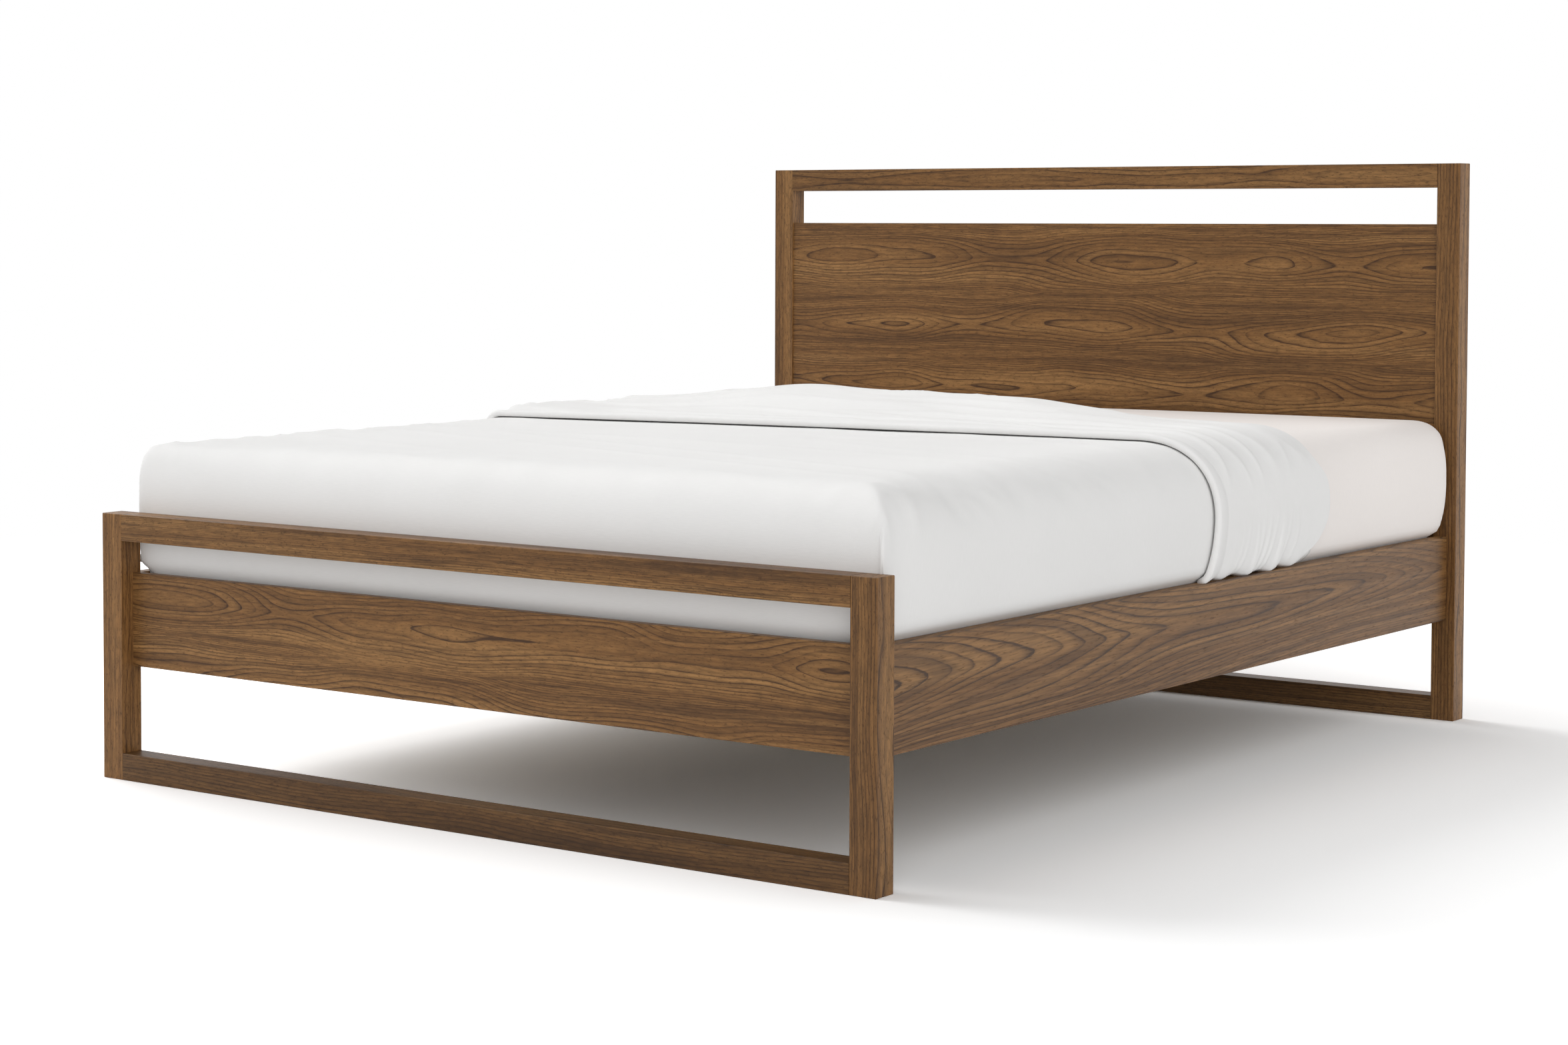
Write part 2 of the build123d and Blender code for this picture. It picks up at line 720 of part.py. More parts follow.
# The turned-down sheet: its band, then the waves on top and the pleats over the right rail
# Along a wave from left to right: the share of its span, how far it swells and how far it sways
WAVE_STATIONS = ((-0.5, 0.3, 0), (-0.25, 0.9, 0.6), (0.05, 1, -0.5), (0.3, 0.6, 0.3), (0.5, 0.25, 0))
fold_middle_skin = (fold_inner_skin + fold_skin) / 2
with BuildPart() as turned_down_sheet:
    add(mattress_form(fold_skin))
    add(mattress_form(fold_inner_skin), mode=Mode.SUBTRACT)
    with BuildSketch(Plane.XY.offset(side_rail_top + fold_hem)):
        Polygon(
            (-bed_width / 2, fold_foot_edge_left),
            (bed_width / 2, fold_foot_edge_right),
            (bed_width / 2, fold_head_edge_right),
            (-bed_width / 2, fold_head_edge_left),
            align=None,
        )
    extrude(amount=head_height, mode=Mode.INTERSECT)
    for offset, width, rise in zip(wave_offsets, wave_widths, wave_rises):
        wave_sections = []
        for share, swell, sway in WAVE_STATIONS:
            x = wave_centre + share * wave_span
            foot_edge = fold_edge(x, fold_foot_edge_right, fold_foot_edge_left)
            y = foot_edge + offset + sway * wave_sway
            base, reach = crown_z(x, fold_middle_skin), width / 2
            apex = (y, base + fold_thickness / 2 + swell * rise)
            wave_sections.append(lens(Plane.YZ.offset(x), (y - reach, base), (y + reach, base), apex))
        loft(wave_sections)
    for pleat in range(pleat_count):
        y = fold_foot_edge_right + pleat_pitch * (pleat + 1)
        loft(
            side_fold(
                RIGHT,
                fold_middle_skin,
                y,
                y + pleat_lean,
                side_rail_top + fold_hem,
                side_rail_top + fold_hem + pleat_height,
                pleat_width,
                fold_thickness / 2 + pleat_rise,
            )
        )
keep(turned_down_sheet, "turned_down_sheet")
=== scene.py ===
import math

import bpy
import numpy as np
from bpy.props import FloatProperty, FloatVectorProperty, PointerProperty
from mathutils import Matrix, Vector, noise


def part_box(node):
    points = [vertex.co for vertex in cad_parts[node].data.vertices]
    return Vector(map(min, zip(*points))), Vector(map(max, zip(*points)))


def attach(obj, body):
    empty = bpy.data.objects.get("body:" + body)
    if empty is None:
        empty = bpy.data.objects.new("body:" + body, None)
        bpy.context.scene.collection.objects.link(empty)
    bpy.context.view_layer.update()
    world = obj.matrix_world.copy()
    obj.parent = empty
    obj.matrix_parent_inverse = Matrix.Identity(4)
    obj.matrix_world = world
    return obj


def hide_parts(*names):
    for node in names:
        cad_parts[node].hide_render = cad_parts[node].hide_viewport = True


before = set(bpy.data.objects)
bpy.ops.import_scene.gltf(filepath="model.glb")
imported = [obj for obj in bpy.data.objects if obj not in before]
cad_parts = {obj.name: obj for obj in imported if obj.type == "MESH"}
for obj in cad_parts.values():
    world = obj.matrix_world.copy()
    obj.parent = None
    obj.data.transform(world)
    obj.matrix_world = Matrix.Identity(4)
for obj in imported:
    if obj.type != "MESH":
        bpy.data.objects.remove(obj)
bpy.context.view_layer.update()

bl_info = {
    "name": "Walnut panel bed",
    "version": (1, 0, 0),
    "blender": (4, 5, 0),
    "location": "View3D > Sidebar > Bed",
    "description": "Finishes the bed's frame, makes up its mattress and sets the stage",
    "category": "Object",
}

MATTRESS_LOW, MATTRESS_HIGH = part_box("mattress")
RAIL_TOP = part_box("side_rail_right")[1].z
POST_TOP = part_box("foot_post_right")[1].z
BEDDING_BODY = "made_up_mattress"

# Grain-aligned axes: along the grain, across the face that shows, into the wood
GRAIN_ACROSS_BED = Matrix(((1, 0, 0), (0, 0, 1), (0, -1, 0)))
GRAIN_UPRIGHT = Matrix(((0, 0, 1), (1, 0, 0), (0, 1, 0)))
GRAIN_ALONG_BED = Matrix(((0, 1, 0), (0, 0, 1), (1, 0, 0)))


# Settings


def metres(name, description, size):
    """A size that a user may change."""
    return FloatProperty(name=name, description=description, default=size, unit="LENGTH")


def degrees(name, description, turn):
    """An angle that a user may change."""
    return FloatProperty(name=name, description=description, default=math.radians(turn), unit="ROTATION")


def plain(name, description, value):
    """A plain number that a user may change."""
    return FloatProperty(name=name, description=description, default=value)


def swatch(name, description, levels):
    """A colour that a user may change."""
    return FloatVectorProperty(name=name, description=description, default=levels, subtype="COLOR")


class WoodSettings(bpy.types.PropertyGroup):
    """Colours and figure of the walnut and of the slatted base"""

    walnut: swatch("Walnut", "Walnut between its growth lines", (0.184, 0.088, 0.028))
    walnut_line: swatch("Walnut line", "Walnut's dark growth lines", (0.050, 0.022, 0.008))
    walnut_pale: swatch("Pale walnut", "Walnut's paler streaks", (0.270, 0.140, 0.049))
    panel_row: metres("Panel row", "Height of one row of figure on a panel", 0.136)
    head_row_centre: metres("Head row centre", "Height of the head panel's first row", 0.900)
    foot_row_centre: metres("Foot row centre", "Height of the foot panel's row", 0.322)
    birch: swatch("Birch", "Slats, ledgers and beam", (0.46, 0.38, 0.28))
    birch_line: swatch("Birch line", "The slats' growth lines", (0.34, 0.26, 0.18))
    birch_pale: swatch("Pale birch", "The slats' paler streaks", (0.55, 0.47, 0.36))


class BeddingSettings(bpy.types.PropertyGroup):
    """Shape and colours of the made-up mattress"""

    bulge: metres("Bulge", "Height of the mattress's fullest line", 0.157)
    head_bulge: metres("Head bulge", "How much fuller the sides are by the head", 0.015)
    shoulder_right: metres("Right shoulder", "How far in the top rolls over at the right", 0.150)
    shoulder_firm: metres("Firm shoulder", "The same away from the turned-down sheet", 0.080)
    shoulder_left: metres("Left shoulder", "How far in the top rolls over at the left", 0.045)
    shoulder_foot: metres("Foot shoulder", "How far in the top rolls over at the foot", 0.080)
    shoulder_head: metres("Head shoulder", "How far in the top rolls over at the head", 0.03)
    shoulder_corner: metres("Right corner shoulder", "The same at the right foot corner", 0.085)
    shoulder_left_corner: metres("Left corner shoulder", "The same at the left foot corner", 0.045)
    side_draw: metres("Side draw", "How far the sides draw in underneath", 0.048)
    end_draw: metres("End draw", "How far the ends draw in underneath", 0.022)
    rail_nip: metres("Rail nip", "How far the side rails pinch the sides in", 0.014)
    panel_nip: metres("Panel nip", "How far the panels pinch the ends in", 0.004)
    lean: metres("Lean", "How much lower the top is at the left", 0.011)
    left_corner: metres("Left corner", "Plan radius of the mattress's left corners", 0.032)
    right_corner: metres("Right corner", "Plan radius of the mattress's right corners", 0.018)
    coverlet_corner: metres("Coverlet corner", "Its right corner's plan radius, less its skin", -0.002)
    mitre_lip: metres("Mitre lip", "How far the side flap's edge stands out at the foot", 0.0045)
    fitted_thickness: metres("Fitted sheet", "Thickness of the fitted sheet", 0.0012)
    coverlet_thickness: metres("Coverlet", "Thickness of the coverlet", 0.005)
    coverlet_head: metres("Coverlet head", "Where the coverlet ends under the top sheet", 0.4)
    fold_foot_right: metres("Fold, foot right", "The fold's foot edge at the right", 0.022)
    fold_foot_left: metres("Fold, foot left", "The fold's foot edge at the left", -0.037)
    fold_head_right: metres("Fold, head right", "The fold's head edge at the right", 0.455)
    fold_head_left: metres("Fold, head left", "The fold's head edge at the left", 0.56)
    fold_roll: metres("Fold roll", "Radius of the rolled foot edge", 0.0065)
    fold_gap: metres("Fold gap", "Air under the rolled foot edge", 0.0012)
    pleat_rise: metres("Pleat rise", "Rise of the pleats over the right rail", 0.0037)
    pleat_density: plain("Pleats", "Pleats to a metre, about", 38.0)
    white: swatch("Cotton", "Coverlet and top sheet", (0.82, 0.815, 0.805))
    warm_white: swatch("Warm cotton", "Fitted sheet", (0.865, 0.82, 0.79))
    ticking: swatch("Ticking", "The mattress's cover", (0.30, 0.30, 0.31))


class StageSettings(bpy.types.PropertyGroup):
    """Camera and light"""

    camera_place: FloatVectorProperty(
        name="Camera place",
        description="Where the camera stands",
        default=(3.3189, -4.9573, 1.0002),
        unit="LENGTH",
    )
    camera_turn: degrees("Camera turn", "The camera's heading", 38.557)
    camera_tilt: degrees("Camera tilt", "How far the camera looks down", 2.728)
    camera_lens: plain("Lens", "Focal length in millimetres", 73.046)
    camera_shift: FloatVectorProperty(
        name="Shift", description="The lens's shift right and up", size=2, default=(0.1443, -0.10)
    )
    sky: plain("Sky", "Light from all round", 0.355)
    key: plain("Key", "Strength of the low soft light from the left", 1.65)
    high_key: plain("High key", "Strength of the high soft light from the left", 0.60)
    fill: plain("Fill", "Strength of the soft light from the right", 1.47)
    floor: swatch("Floor", "The pale floor", (0.92, 0.92, 0.92))
    floor_lift: plain("Floor lift", "How much paler the floor looks", 1.31)
    # Painted light: how much paler the floor is painted under the bed's left side
    painted_left_light: plain("Left lift", "The same under the bed's left side", 2.0)


# Node helpers


class NodeBench:
    """Adds nodes to a tree and links them as they are named"""

    def __init__(self, tree):
        self.tree = tree

    def add(self, kind, inputs=None, **settings):
        made = self.tree.nodes.new(f"ShaderNode{kind}")
        for name, value in settings.items():
            setattr(made, name, value)
        for socket, value in (inputs or {}).items():
            if isinstance(value, bpy.types.NodeSocket):
                self.tree.links.new(value, made.inputs[socket])
            else:
                made.inputs[socket].default_value = value
        return made

    def link(self, sockets, sources):
        """Links each source to the socket of its name."""
        for name, source in sources.items():
            self.tree.links.new(source, sockets[name])

    def place(self):
        return self.add("TexCoord").outputs["Object"]

    def split(self, vector):
        return self.add("SeparateXYZ", {0: vector}).outputs

    def math(self, operation, *values):
        return self.add("Math", dict(enumerate(values)), operation=operation).outputs[0]

    def times(self, *values):
        return self.math("MULTIPLY", *values)

    def times_plus(self, *values):
        return self.math("MULTIPLY_ADD", *values)

    def noise(self, vector, fineness, detail=2.0, roughness=0.5):
        """Noise that is this fine along each axis."""
        inputs = {0: vector, 1: fineness}
        scaled = self.add("VectorMath", inputs, operation="MULTIPLY").outputs[0]
        inputs = {"Vector": scaled, "Scale": 1.0, "Detail": detail, "Roughness": roughness}
        return self.add("TexNoise", inputs).outputs["Fac"]

    def spread(self, value, low, high, to_low=0.0, to_high=1.0):
        """Takes low to high smoothly to other limits."""
        inputs = {"Value": value, "From Min": low, "From Max": high, "To Min": to_low, "To Max": to_high}
        return self.add("MapRange", inputs, interpolation_type="SMOOTHSTEP").outputs[0]

    def mix(self, share, first, second):
        return self.add("Mix", {0: share, 6: first, 7: second}, data_type="RGBA").outputs[2]

    def brightened(self, colour, level):
        return self.add("VectorMath", {0: colour, 3: level}, operation="SCALE").outputs[0]


def shared_group(name, inputs, build):
    """The shader node group of this name, built on its first use."""
    group = bpy.data.node_groups.get(name)
    if group:
        return group
    group = bpy.data.node_groups.new(name, "ShaderNodeTree")
    for socket, kind in inputs.items():
        group.interface.new_socket(socket, in_out="INPUT", socket_type=f"NodeSocket{kind}")
    for socket, kind in {"Color": "Color", "Roughness": "Float", "Height": "Float"}.items():
        group.interface.new_socket(socket, in_out="OUTPUT", socket_type=f"NodeSocket{kind}")
    bench = NodeBench(group)
    made = build(bench, group.nodes.new("NodeGroupInput").outputs)
    bench.link(group.nodes.new("NodeGroupOutput").inputs, made)
    return group


def empty_material(name):
    """A node material without nodes; returns it and its bench."""
    material = bpy.data.materials.new(name)
    material.use_nodes = True
    material.node_tree.nodes.clear()
    return material, NodeBench(material.node_tree)


def new_material(name, values):
    """A node material with a Principled shader of these values; returns it, its bench and the shader."""
    material, bench = empty_material(name)
    shader = bench.add("BsdfPrincipled", values)
    bench.add("OutputMaterial", {"Surface": shader.outputs[0]})
    return material, bench, shader


RELIEF_DEPTH = 0.0006


def finish_shader(bench, shader, group, relief):
    """Gives a shader a group's colour, roughness and relief."""
    colour, rough, height = group.outputs
    bump = bench.add("Bump", {"Strength": relief, "Distance": RELIEF_DEPTH, "Height": height})
    bench.link(shader.inputs, {"Base Color": colour, "Roughness": rough, "Normal": bump.outputs[0]})


# Wood

FIGURE_INPUTS = {
    "Grain": "Vector",
    **dict.fromkeys(("Row", "Lines", "Taper", "Sway", "Contrast"), "Float"),
    **dict.fromkeys(("Early", "Late", "Pale"), "Color"),
}
# How far a board's rows wander and ripple, and move with the depth in the wood
WANDER, RIPPLE, DEPTH_SHIFT = 0.04, 0.0035, 0.3
# How round the lines turn at a row's middle, and how much they waver
ROUNDING, WAVER = 0.004, 0.4
# How many pale and dark times come to a line
ERA_PACE = 0.42
# How dark a year's wood is, from the line before it to its own
YEAR = ((0.0, 0.5), (0.07, 0.05), (0.35, 0.0), (0.62, 0.08), (0.84, 0.35), (1.0, 1.0))


def wood_figure(bench, given):
    """Growth lines that point along the rows of a flat-sawn board, with streaks, fibres and pores."""
    early, late, pale, contrast = (given[name] for name in ("Early", "Late", "Pale", "Contrast"))
    split = bench.split(given["Grain"])

    def grain(along, across, *rest):
        """Noise that is this fine along and across the grain."""
        return bench.noise(given["Grain"], (along, across, across), *rest)

    def toned(colour, share, tone):
        return bench.mix(bench.times(share, contrast), colour, tone)

    # The board's rows wander a little along the grain, and lines climb away from each row's middle
    wander = bench.math("SUBTRACT", grain(1.3, 4, 1.0), 0.5)
    ripple = bench.math("SUBTRACT", grain(12, 40), 0.5)
    across = split["Y"]
    for shift, reach in ((wander, WANDER), (ripple, RIPPLE), (split["Z"], DEPTH_SHIFT)):
        across = bench.times_plus(shift, reach, across)
    half_row = bench.times(given["Row"], 0.5)
    aside = bench.math("DIVIDE", bench.math("PINGPONG", across, half_row), half_row)
    aside = bench.math("SQRT", bench.times_plus(aside, aside, ROUNDING))
    arch = bench.times(aside, bench.times_plus(aside, aside, 1.0))

    # Swells along the grain close the lines into pointed eyes
    swell = bench.spread(grain(3.0, 6, 1.0, 0.35), 0.22, 0.78)
    field = bench.times(bench.times_plus(swell, given["Sway"], arch), given["Lines"])
    field = bench.times_plus(split["X"], given["Taper"], field)
    field = bench.times_plus(grain(9, 55), WAVER, field)

    # No two lines are equally dark, and each fades and breaks along its way
    number = bench.math("FLOOR", field)
    year = bench.add("TexWhiteNoise", {"W": number}, noise_dimensions="1D").outputs[0]
    ring = bench.add("ValToRGB", {0: bench.math("FRACT", field)})
    for position, _ in YEAR[1:-1]:
        ring.color_ramp.elements.new(position)
    for element, (_, level) in zip(ring.color_ramp.elements, YEAR):
        element.color = (level, level, level, 1)
    faded = bench.spread(grain(2.4, 15), 0.32, 0.54, 0.5, 1.0)
    broken = bench.spread(grain(24, 260), 0.34, 0.56, 0.55, 1.0)
    strength = bench.times(bench.times(faded, broken), contrast)
    strength = bench.times(strength, bench.spread(year, 0.0, 0.7, 0.7, 1.6))
    lines = bench.times(ring.outputs[0], strength)

    # Broad bands, pale and dark times that follow the lines, the lines, streaks, pores and fibres
    band = grain(0.7, 15, 3.0)
    streak = grain(2.4, 120, 4.0, 0.7)
    fibre = grain(40, 240, 2.0, 0.6)
    pore = bench.spread(grain(120, 420, 2.0, 0.6), 0.56, 0.68)
    colour = bench.mix(bench.spread(band, 0.49, 0.68), early, pale)
    colour = bench.mix(bench.spread(band, 0.47, 0.28, 0.0, 0.75), colour, late)
    inputs = {"W": bench.times(field, ERA_PACE), "Scale": 1.0, "Detail": 1.0}
    era = bench.add("TexNoise", inputs, noise_dimensions="1D").outputs["Fac"]
    colour = toned(colour, bench.spread(era, 0.50, 0.70, 0.0, 0.42), pale)
    colour = toned(colour, bench.spread(era, 0.50, 0.32, 0.0, 0.34), late)
    colour = bench.mix(lines, colour, late)
    dark = bench.times(bench.spread(streak, 0.49, 0.70), bench.spread(aside, 0.25, 0.8, 0.2, 0.75))
    colour = toned(colour, dark, late)
    colour = toned(colour, bench.spread(streak, 0.48, 0.28, 0.0, 0.35), pale)
    colour = bench.mix(bench.times(pore, 0.55), colour, late)
    colour = bench.brightened(colour, bench.spread(fibre, 0.28, 0.72, 0.80, 1.22))

    rough = bench.times_plus(pore, 0.12, bench.times_plus(streak, 0.16, 0.36))
    height = bench.times_plus(fibre, 0.5, bench.times(lines, -0.25))
    return {"Color": colour, "Roughness": rough, "Height": bench.times_plus(pore, -0.6, height)}


class Board:
    """How one kind of board is cut: its figure, and its stretch, tilt, tone and gloss"""

    def __init__(self, row, lines, sway, contrast, taper=0.0, stretch=1.0, tilt=0.0, tone=1.0, gloss=0.25):
        self.figure = {"Row": row, "Lines": lines, "Taper": taper, "Sway": sway, "Contrast": contrast}
        self.stretch, self.tilt, self.tone, self.gloss = stretch, math.radians(tilt), tone, gloss


WOOD_RELIEF = 0.16


def finish_node(name, material):
    """Gives every material slot of a CAD node this material."""
    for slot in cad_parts[name].material_slots:
        slot.material = material


def finish_in_wood(node, wood, axes, place, board):
    """Wood whose grain runs along the first of these axes, moved by place so that no two boards match."""
    kind, *colours = wood
    material, bench, shader = new_material(f"{kind} {node}", {"Specular IOR Level": board.gloss})
    mapping = bench.add(
        "Mapping",
        {
            "Vector": bench.place(),
            "Rotation": (Matrix.Rotation(board.tilt, 3, "Z") @ axes).to_euler("XYZ"),
            "Scale": [1 + (1 / board.stretch - 1) * abs(share) for share in axes[0]],
            "Location": place,
        },
    )
    tones = [(*(board.tone * level for level in colour), 1.0) for colour in colours]
    figure = bench.add(
        "Group",
        {"Grain": mapping.outputs[0], **board.figure, **dict(zip(("Early", "Late", "Pale"), tones))},
        node_tree=shared_group("Wood figure", FIGURE_INPUTS, wood_figure),
    )
    finish_shader(bench, shader, figure, WOOD_RELIEF)
    finish_node(node, material)


STRAIGHT_GRAIN = {"row": 0.30, "lines": 16.0, "sway": 0.12, "contrast": 0.9}
# Painted light and shade: each post's tone stands in for how the light falls, the left posts lighter and the
# right ones darker, the left foot post most
POST_TONES_WITH_PAINTED_LIGHT = {
    "head_post_left": 1.06, "head_post_right": 1.0, "foot_post_left": 1.17, "foot_post_right": 0.94,
}
RAIL_TONES = {
    "head_top_rail": 0.95, "head_floor_rail": 0.60, "foot_top_rail": 0.95, "foot_floor_rail": 0.60,
}


class BED_OT_walnut_frame(bpy.types.Operator):
    """Finish the head, the foot and the side rails in walnut"""

    bl_idname = "bed.walnut_frame"
    bl_label = "Walnut Frame"

    def execute(self, context):
        wood = context.scene.bed_wood
        walnut = ("Walnut", wood.walnut, wood.walnut_line, wood.walnut_pale)
        # The posts take painted light and shade from their tones
        for number, (node, tone) in enumerate(POST_TONES_WITH_PAINTED_LIGHT.items()):
            end, side = divmod(number, 2)
            place = (0.9 * end + 2.3 * side, 0.31 * end, 0.17 * side)
            finish_in_wood(node, walnut, GRAIN_UPRIGHT, place, Board(**STRAIGHT_GRAIN, tone=tone))
        for number, (node, tone) in enumerate(RAIL_TONES.items()):
            end, low = divmod(number, 2)
            place = (3.1 * end + 1.7 * low, 0.13 + 0.07 * low, 0.4 * end)
            finish_in_wood(node, walnut, GRAIN_ACROSS_BED, place, Board(**STRAIGHT_GRAIN, tone=tone))
        board = Board(row=wood.panel_row, lines=5.5, sway=1.25, contrast=1.05, stretch=1.15, tone=1.05)
        for end, centre, along in (("head", wood.head_row_centre, 0.7), ("foot", wood.foot_row_centre, 4.1)):
            place = (along, -centre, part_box(f"{end}_panel")[0].y)
            finish_in_wood(f"{end}_panel", walnut, GRAIN_ACROSS_BED, place, board)
        figure = {"row": 0.27, "lines": 11.0, "sway": 0.55, "contrast": 1.15, "taper": 24.0}
        board = Board(**figure, stretch=3.0, tilt=-1.0, tone=0.93, gloss=0.31)
        for number, side in enumerate(("left", "right")):
            place = (5.3 + 2.9 * number, -0.335, 0.2 * number)
            finish_in_wood(f"side_rail_{side}", walnut, GRAIN_ALONG_BED, place, board)
        return {"FINISHED"}


BASE_GRAIN = (
    ("slat_", GRAIN_ACROSS_BED),
    ("ledger_", GRAIN_ALONG_BED),
    ("centre_beam", GRAIN_ALONG_BED),
    ("centre_leg", GRAIN_UPRIGHT),
    ("head_dowels", GRAIN_ACROSS_BED),
    ("foot_dowels", GRAIN_ACROSS_BED),
)


class BED_OT_slatted_base(bpy.types.Operator):
    """Finish the slats, their ledgers, the centre beam, its leg and the dowels"""

    bl_idname = "bed.slatted_base"
    bl_label = "Slatted Base"

    def execute(self, context):
        wood = context.scene.bed_wood
        birch = ("Birch", wood.birch, wood.birch_line, wood.birch_pale)
        board = Board(row=0.22, lines=9.0, sway=0.6, contrast=0.5)
        for start, axes in BASE_GRAIN:
            names = sorted(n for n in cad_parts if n.startswith(start) and not n.endswith("_screws"))
            for number, name in enumerate(names):
                place = (1.9 * number, 0.23 * number, 0.11 * number)
                finish_in_wood(name, birch, axes, place, board)
        return {"FINISHED"}


# Hardware

STEEL = (
    "hook_plate", "slot_plate", "beam_hanger", "leg_plate", "leg_bolt", "leveller_insert", "leveller_stem",
)


def zinc_material():
    """Zinc-plated steel: a soft shine with faint spangle and handling marks."""
    material, bench, shader = new_material("Zinc-plated steel", {"Metallic": 1.0})
    place = bench.place()
    spangle = bench.add("TexVoronoi", {"Vector": place, "Scale": 160.0}).outputs["Color"]
    tone = bench.add("SeparateColor", {0: spangle}).outputs[0]
    smear = bench.noise(place, (70, 70, 70), 3.0)
    colour = bench.mix(tone, (0.50, 0.51, 0.53, 1), (0.62, 0.62, 0.61, 1))
    bench.link(shader.inputs, {"Base Color": colour, "Roughness": bench.times_plus(smear, 0.25, 0.22)})
    return material


def nylon_material():
    """Moulded dark nylon with a fine grain."""
    material, bench, shader = new_material("Moulded nylon", {})
    speck = bench.noise(bench.place(), (900, 900, 900))
    colour = bench.mix(speck, (0.018, 0.018, 0.019, 1), (0.035, 0.035, 0.036, 1))
    rough = bench.times_plus(speck, 0.15, 0.45)
    bump = bench.add("Bump", {"Strength": 0.2, "Distance": 0.0002, "Height": speck})
    bench.link(shader.inputs, {"Base Color": colour, "Roughness": rough, "Normal": bump.outputs[0]})
    return material


class BED_OT_hardware(bpy.types.Operator):
    """Finish the steel fittings, the screws and the leveller's pad"""

    bl_idname = "bed.hardware"
    bl_label = "Hardware"

    def execute(self, context):
        zinc = zinc_material()
        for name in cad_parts:
            if name.startswith(STEEL) or name.endswith("_screws"):
                finish_node(name, zinc)
        finish_node("leveller_pad", nylon_material())
        return {"FINISHED"}


# Bedding


def between(first, second, share):
    """The value at this share of the way from the first to the second."""
    return first + (second - first) * share


def ease(value, low, high):
    """0 below low, 1 above high and smooth between."""
    share = np.clip((value - low) / (high - low), 0, 1)
    return share * share * (3 - 2 * share)


def hill(distance, reach):
    """1 at no distance, falling smoothly to 0 at its reach."""
    return np.clip(1 - (distance / reach) ** 2, 0, 1) ** 2


def soft_noise(u, v, seed):
    """Smooth noise from about -1 to 1 on two coordinates."""
    u, v = np.broadcast_arrays(u, v)
    flat = [noise.noise((a, b, seed)) for a, b in zip(u.ravel(), v.ravel())]
    return np.reshape(flat, u.shape)


def ridge_noise(u, v, seed):
    """Narrow ridges from 0 to 1 on two coordinates."""
    return np.clip(1 - 2.4 * np.abs(soft_noise(u, v, seed)), 0, 1) ** 2


class Stations:
    """Places along a cloth over the bed, from hem to hem: on its sides, its rolled edges and its flat"""

    def __init__(self, run, stops, edges):
        self.run, self.stops, self.edges = run, stops, edges
        _, flat, rolled, _ = stops
        away = np.abs(run)
        self.sign = np.sign(run)
        self.flat = np.clip(away / flat, 0, 1)
        self.roll = np.clip((away - flat) / (rolled - flat), 0, 1) * math.pi / 2
        self.hang = np.maximum(away - rolled, 0)

    @classmethod
    def over(cls, lengths, step):
        """Stations about a step apart, the same on both sides of the middle."""
        counts = [max(3, round(length / step)) for length in lengths]
        stops = np.cumsum((0.0, *lengths))
        away = [np.linspace(*ends, count + 1)[1:] for *ends, count in zip(stops, stops[1:], counts)]
        away = np.concatenate(away)
        middle, rolled = sum(counts), counts[0] + counts[1]
        return cls(np.concatenate((-away[::-1], [0.0], away)), stops, (middle - rolled, middle + rolled))

    def before(self, count):
        """The first of them, where a cloth ends on the flat."""
        return Stations(self.run[:count], self.stops, (self.edges[0], count))

    def upright(self):
        """The same along a grid's first axis."""
        return Stations(self.run[:, None], self.stops, self.edges)


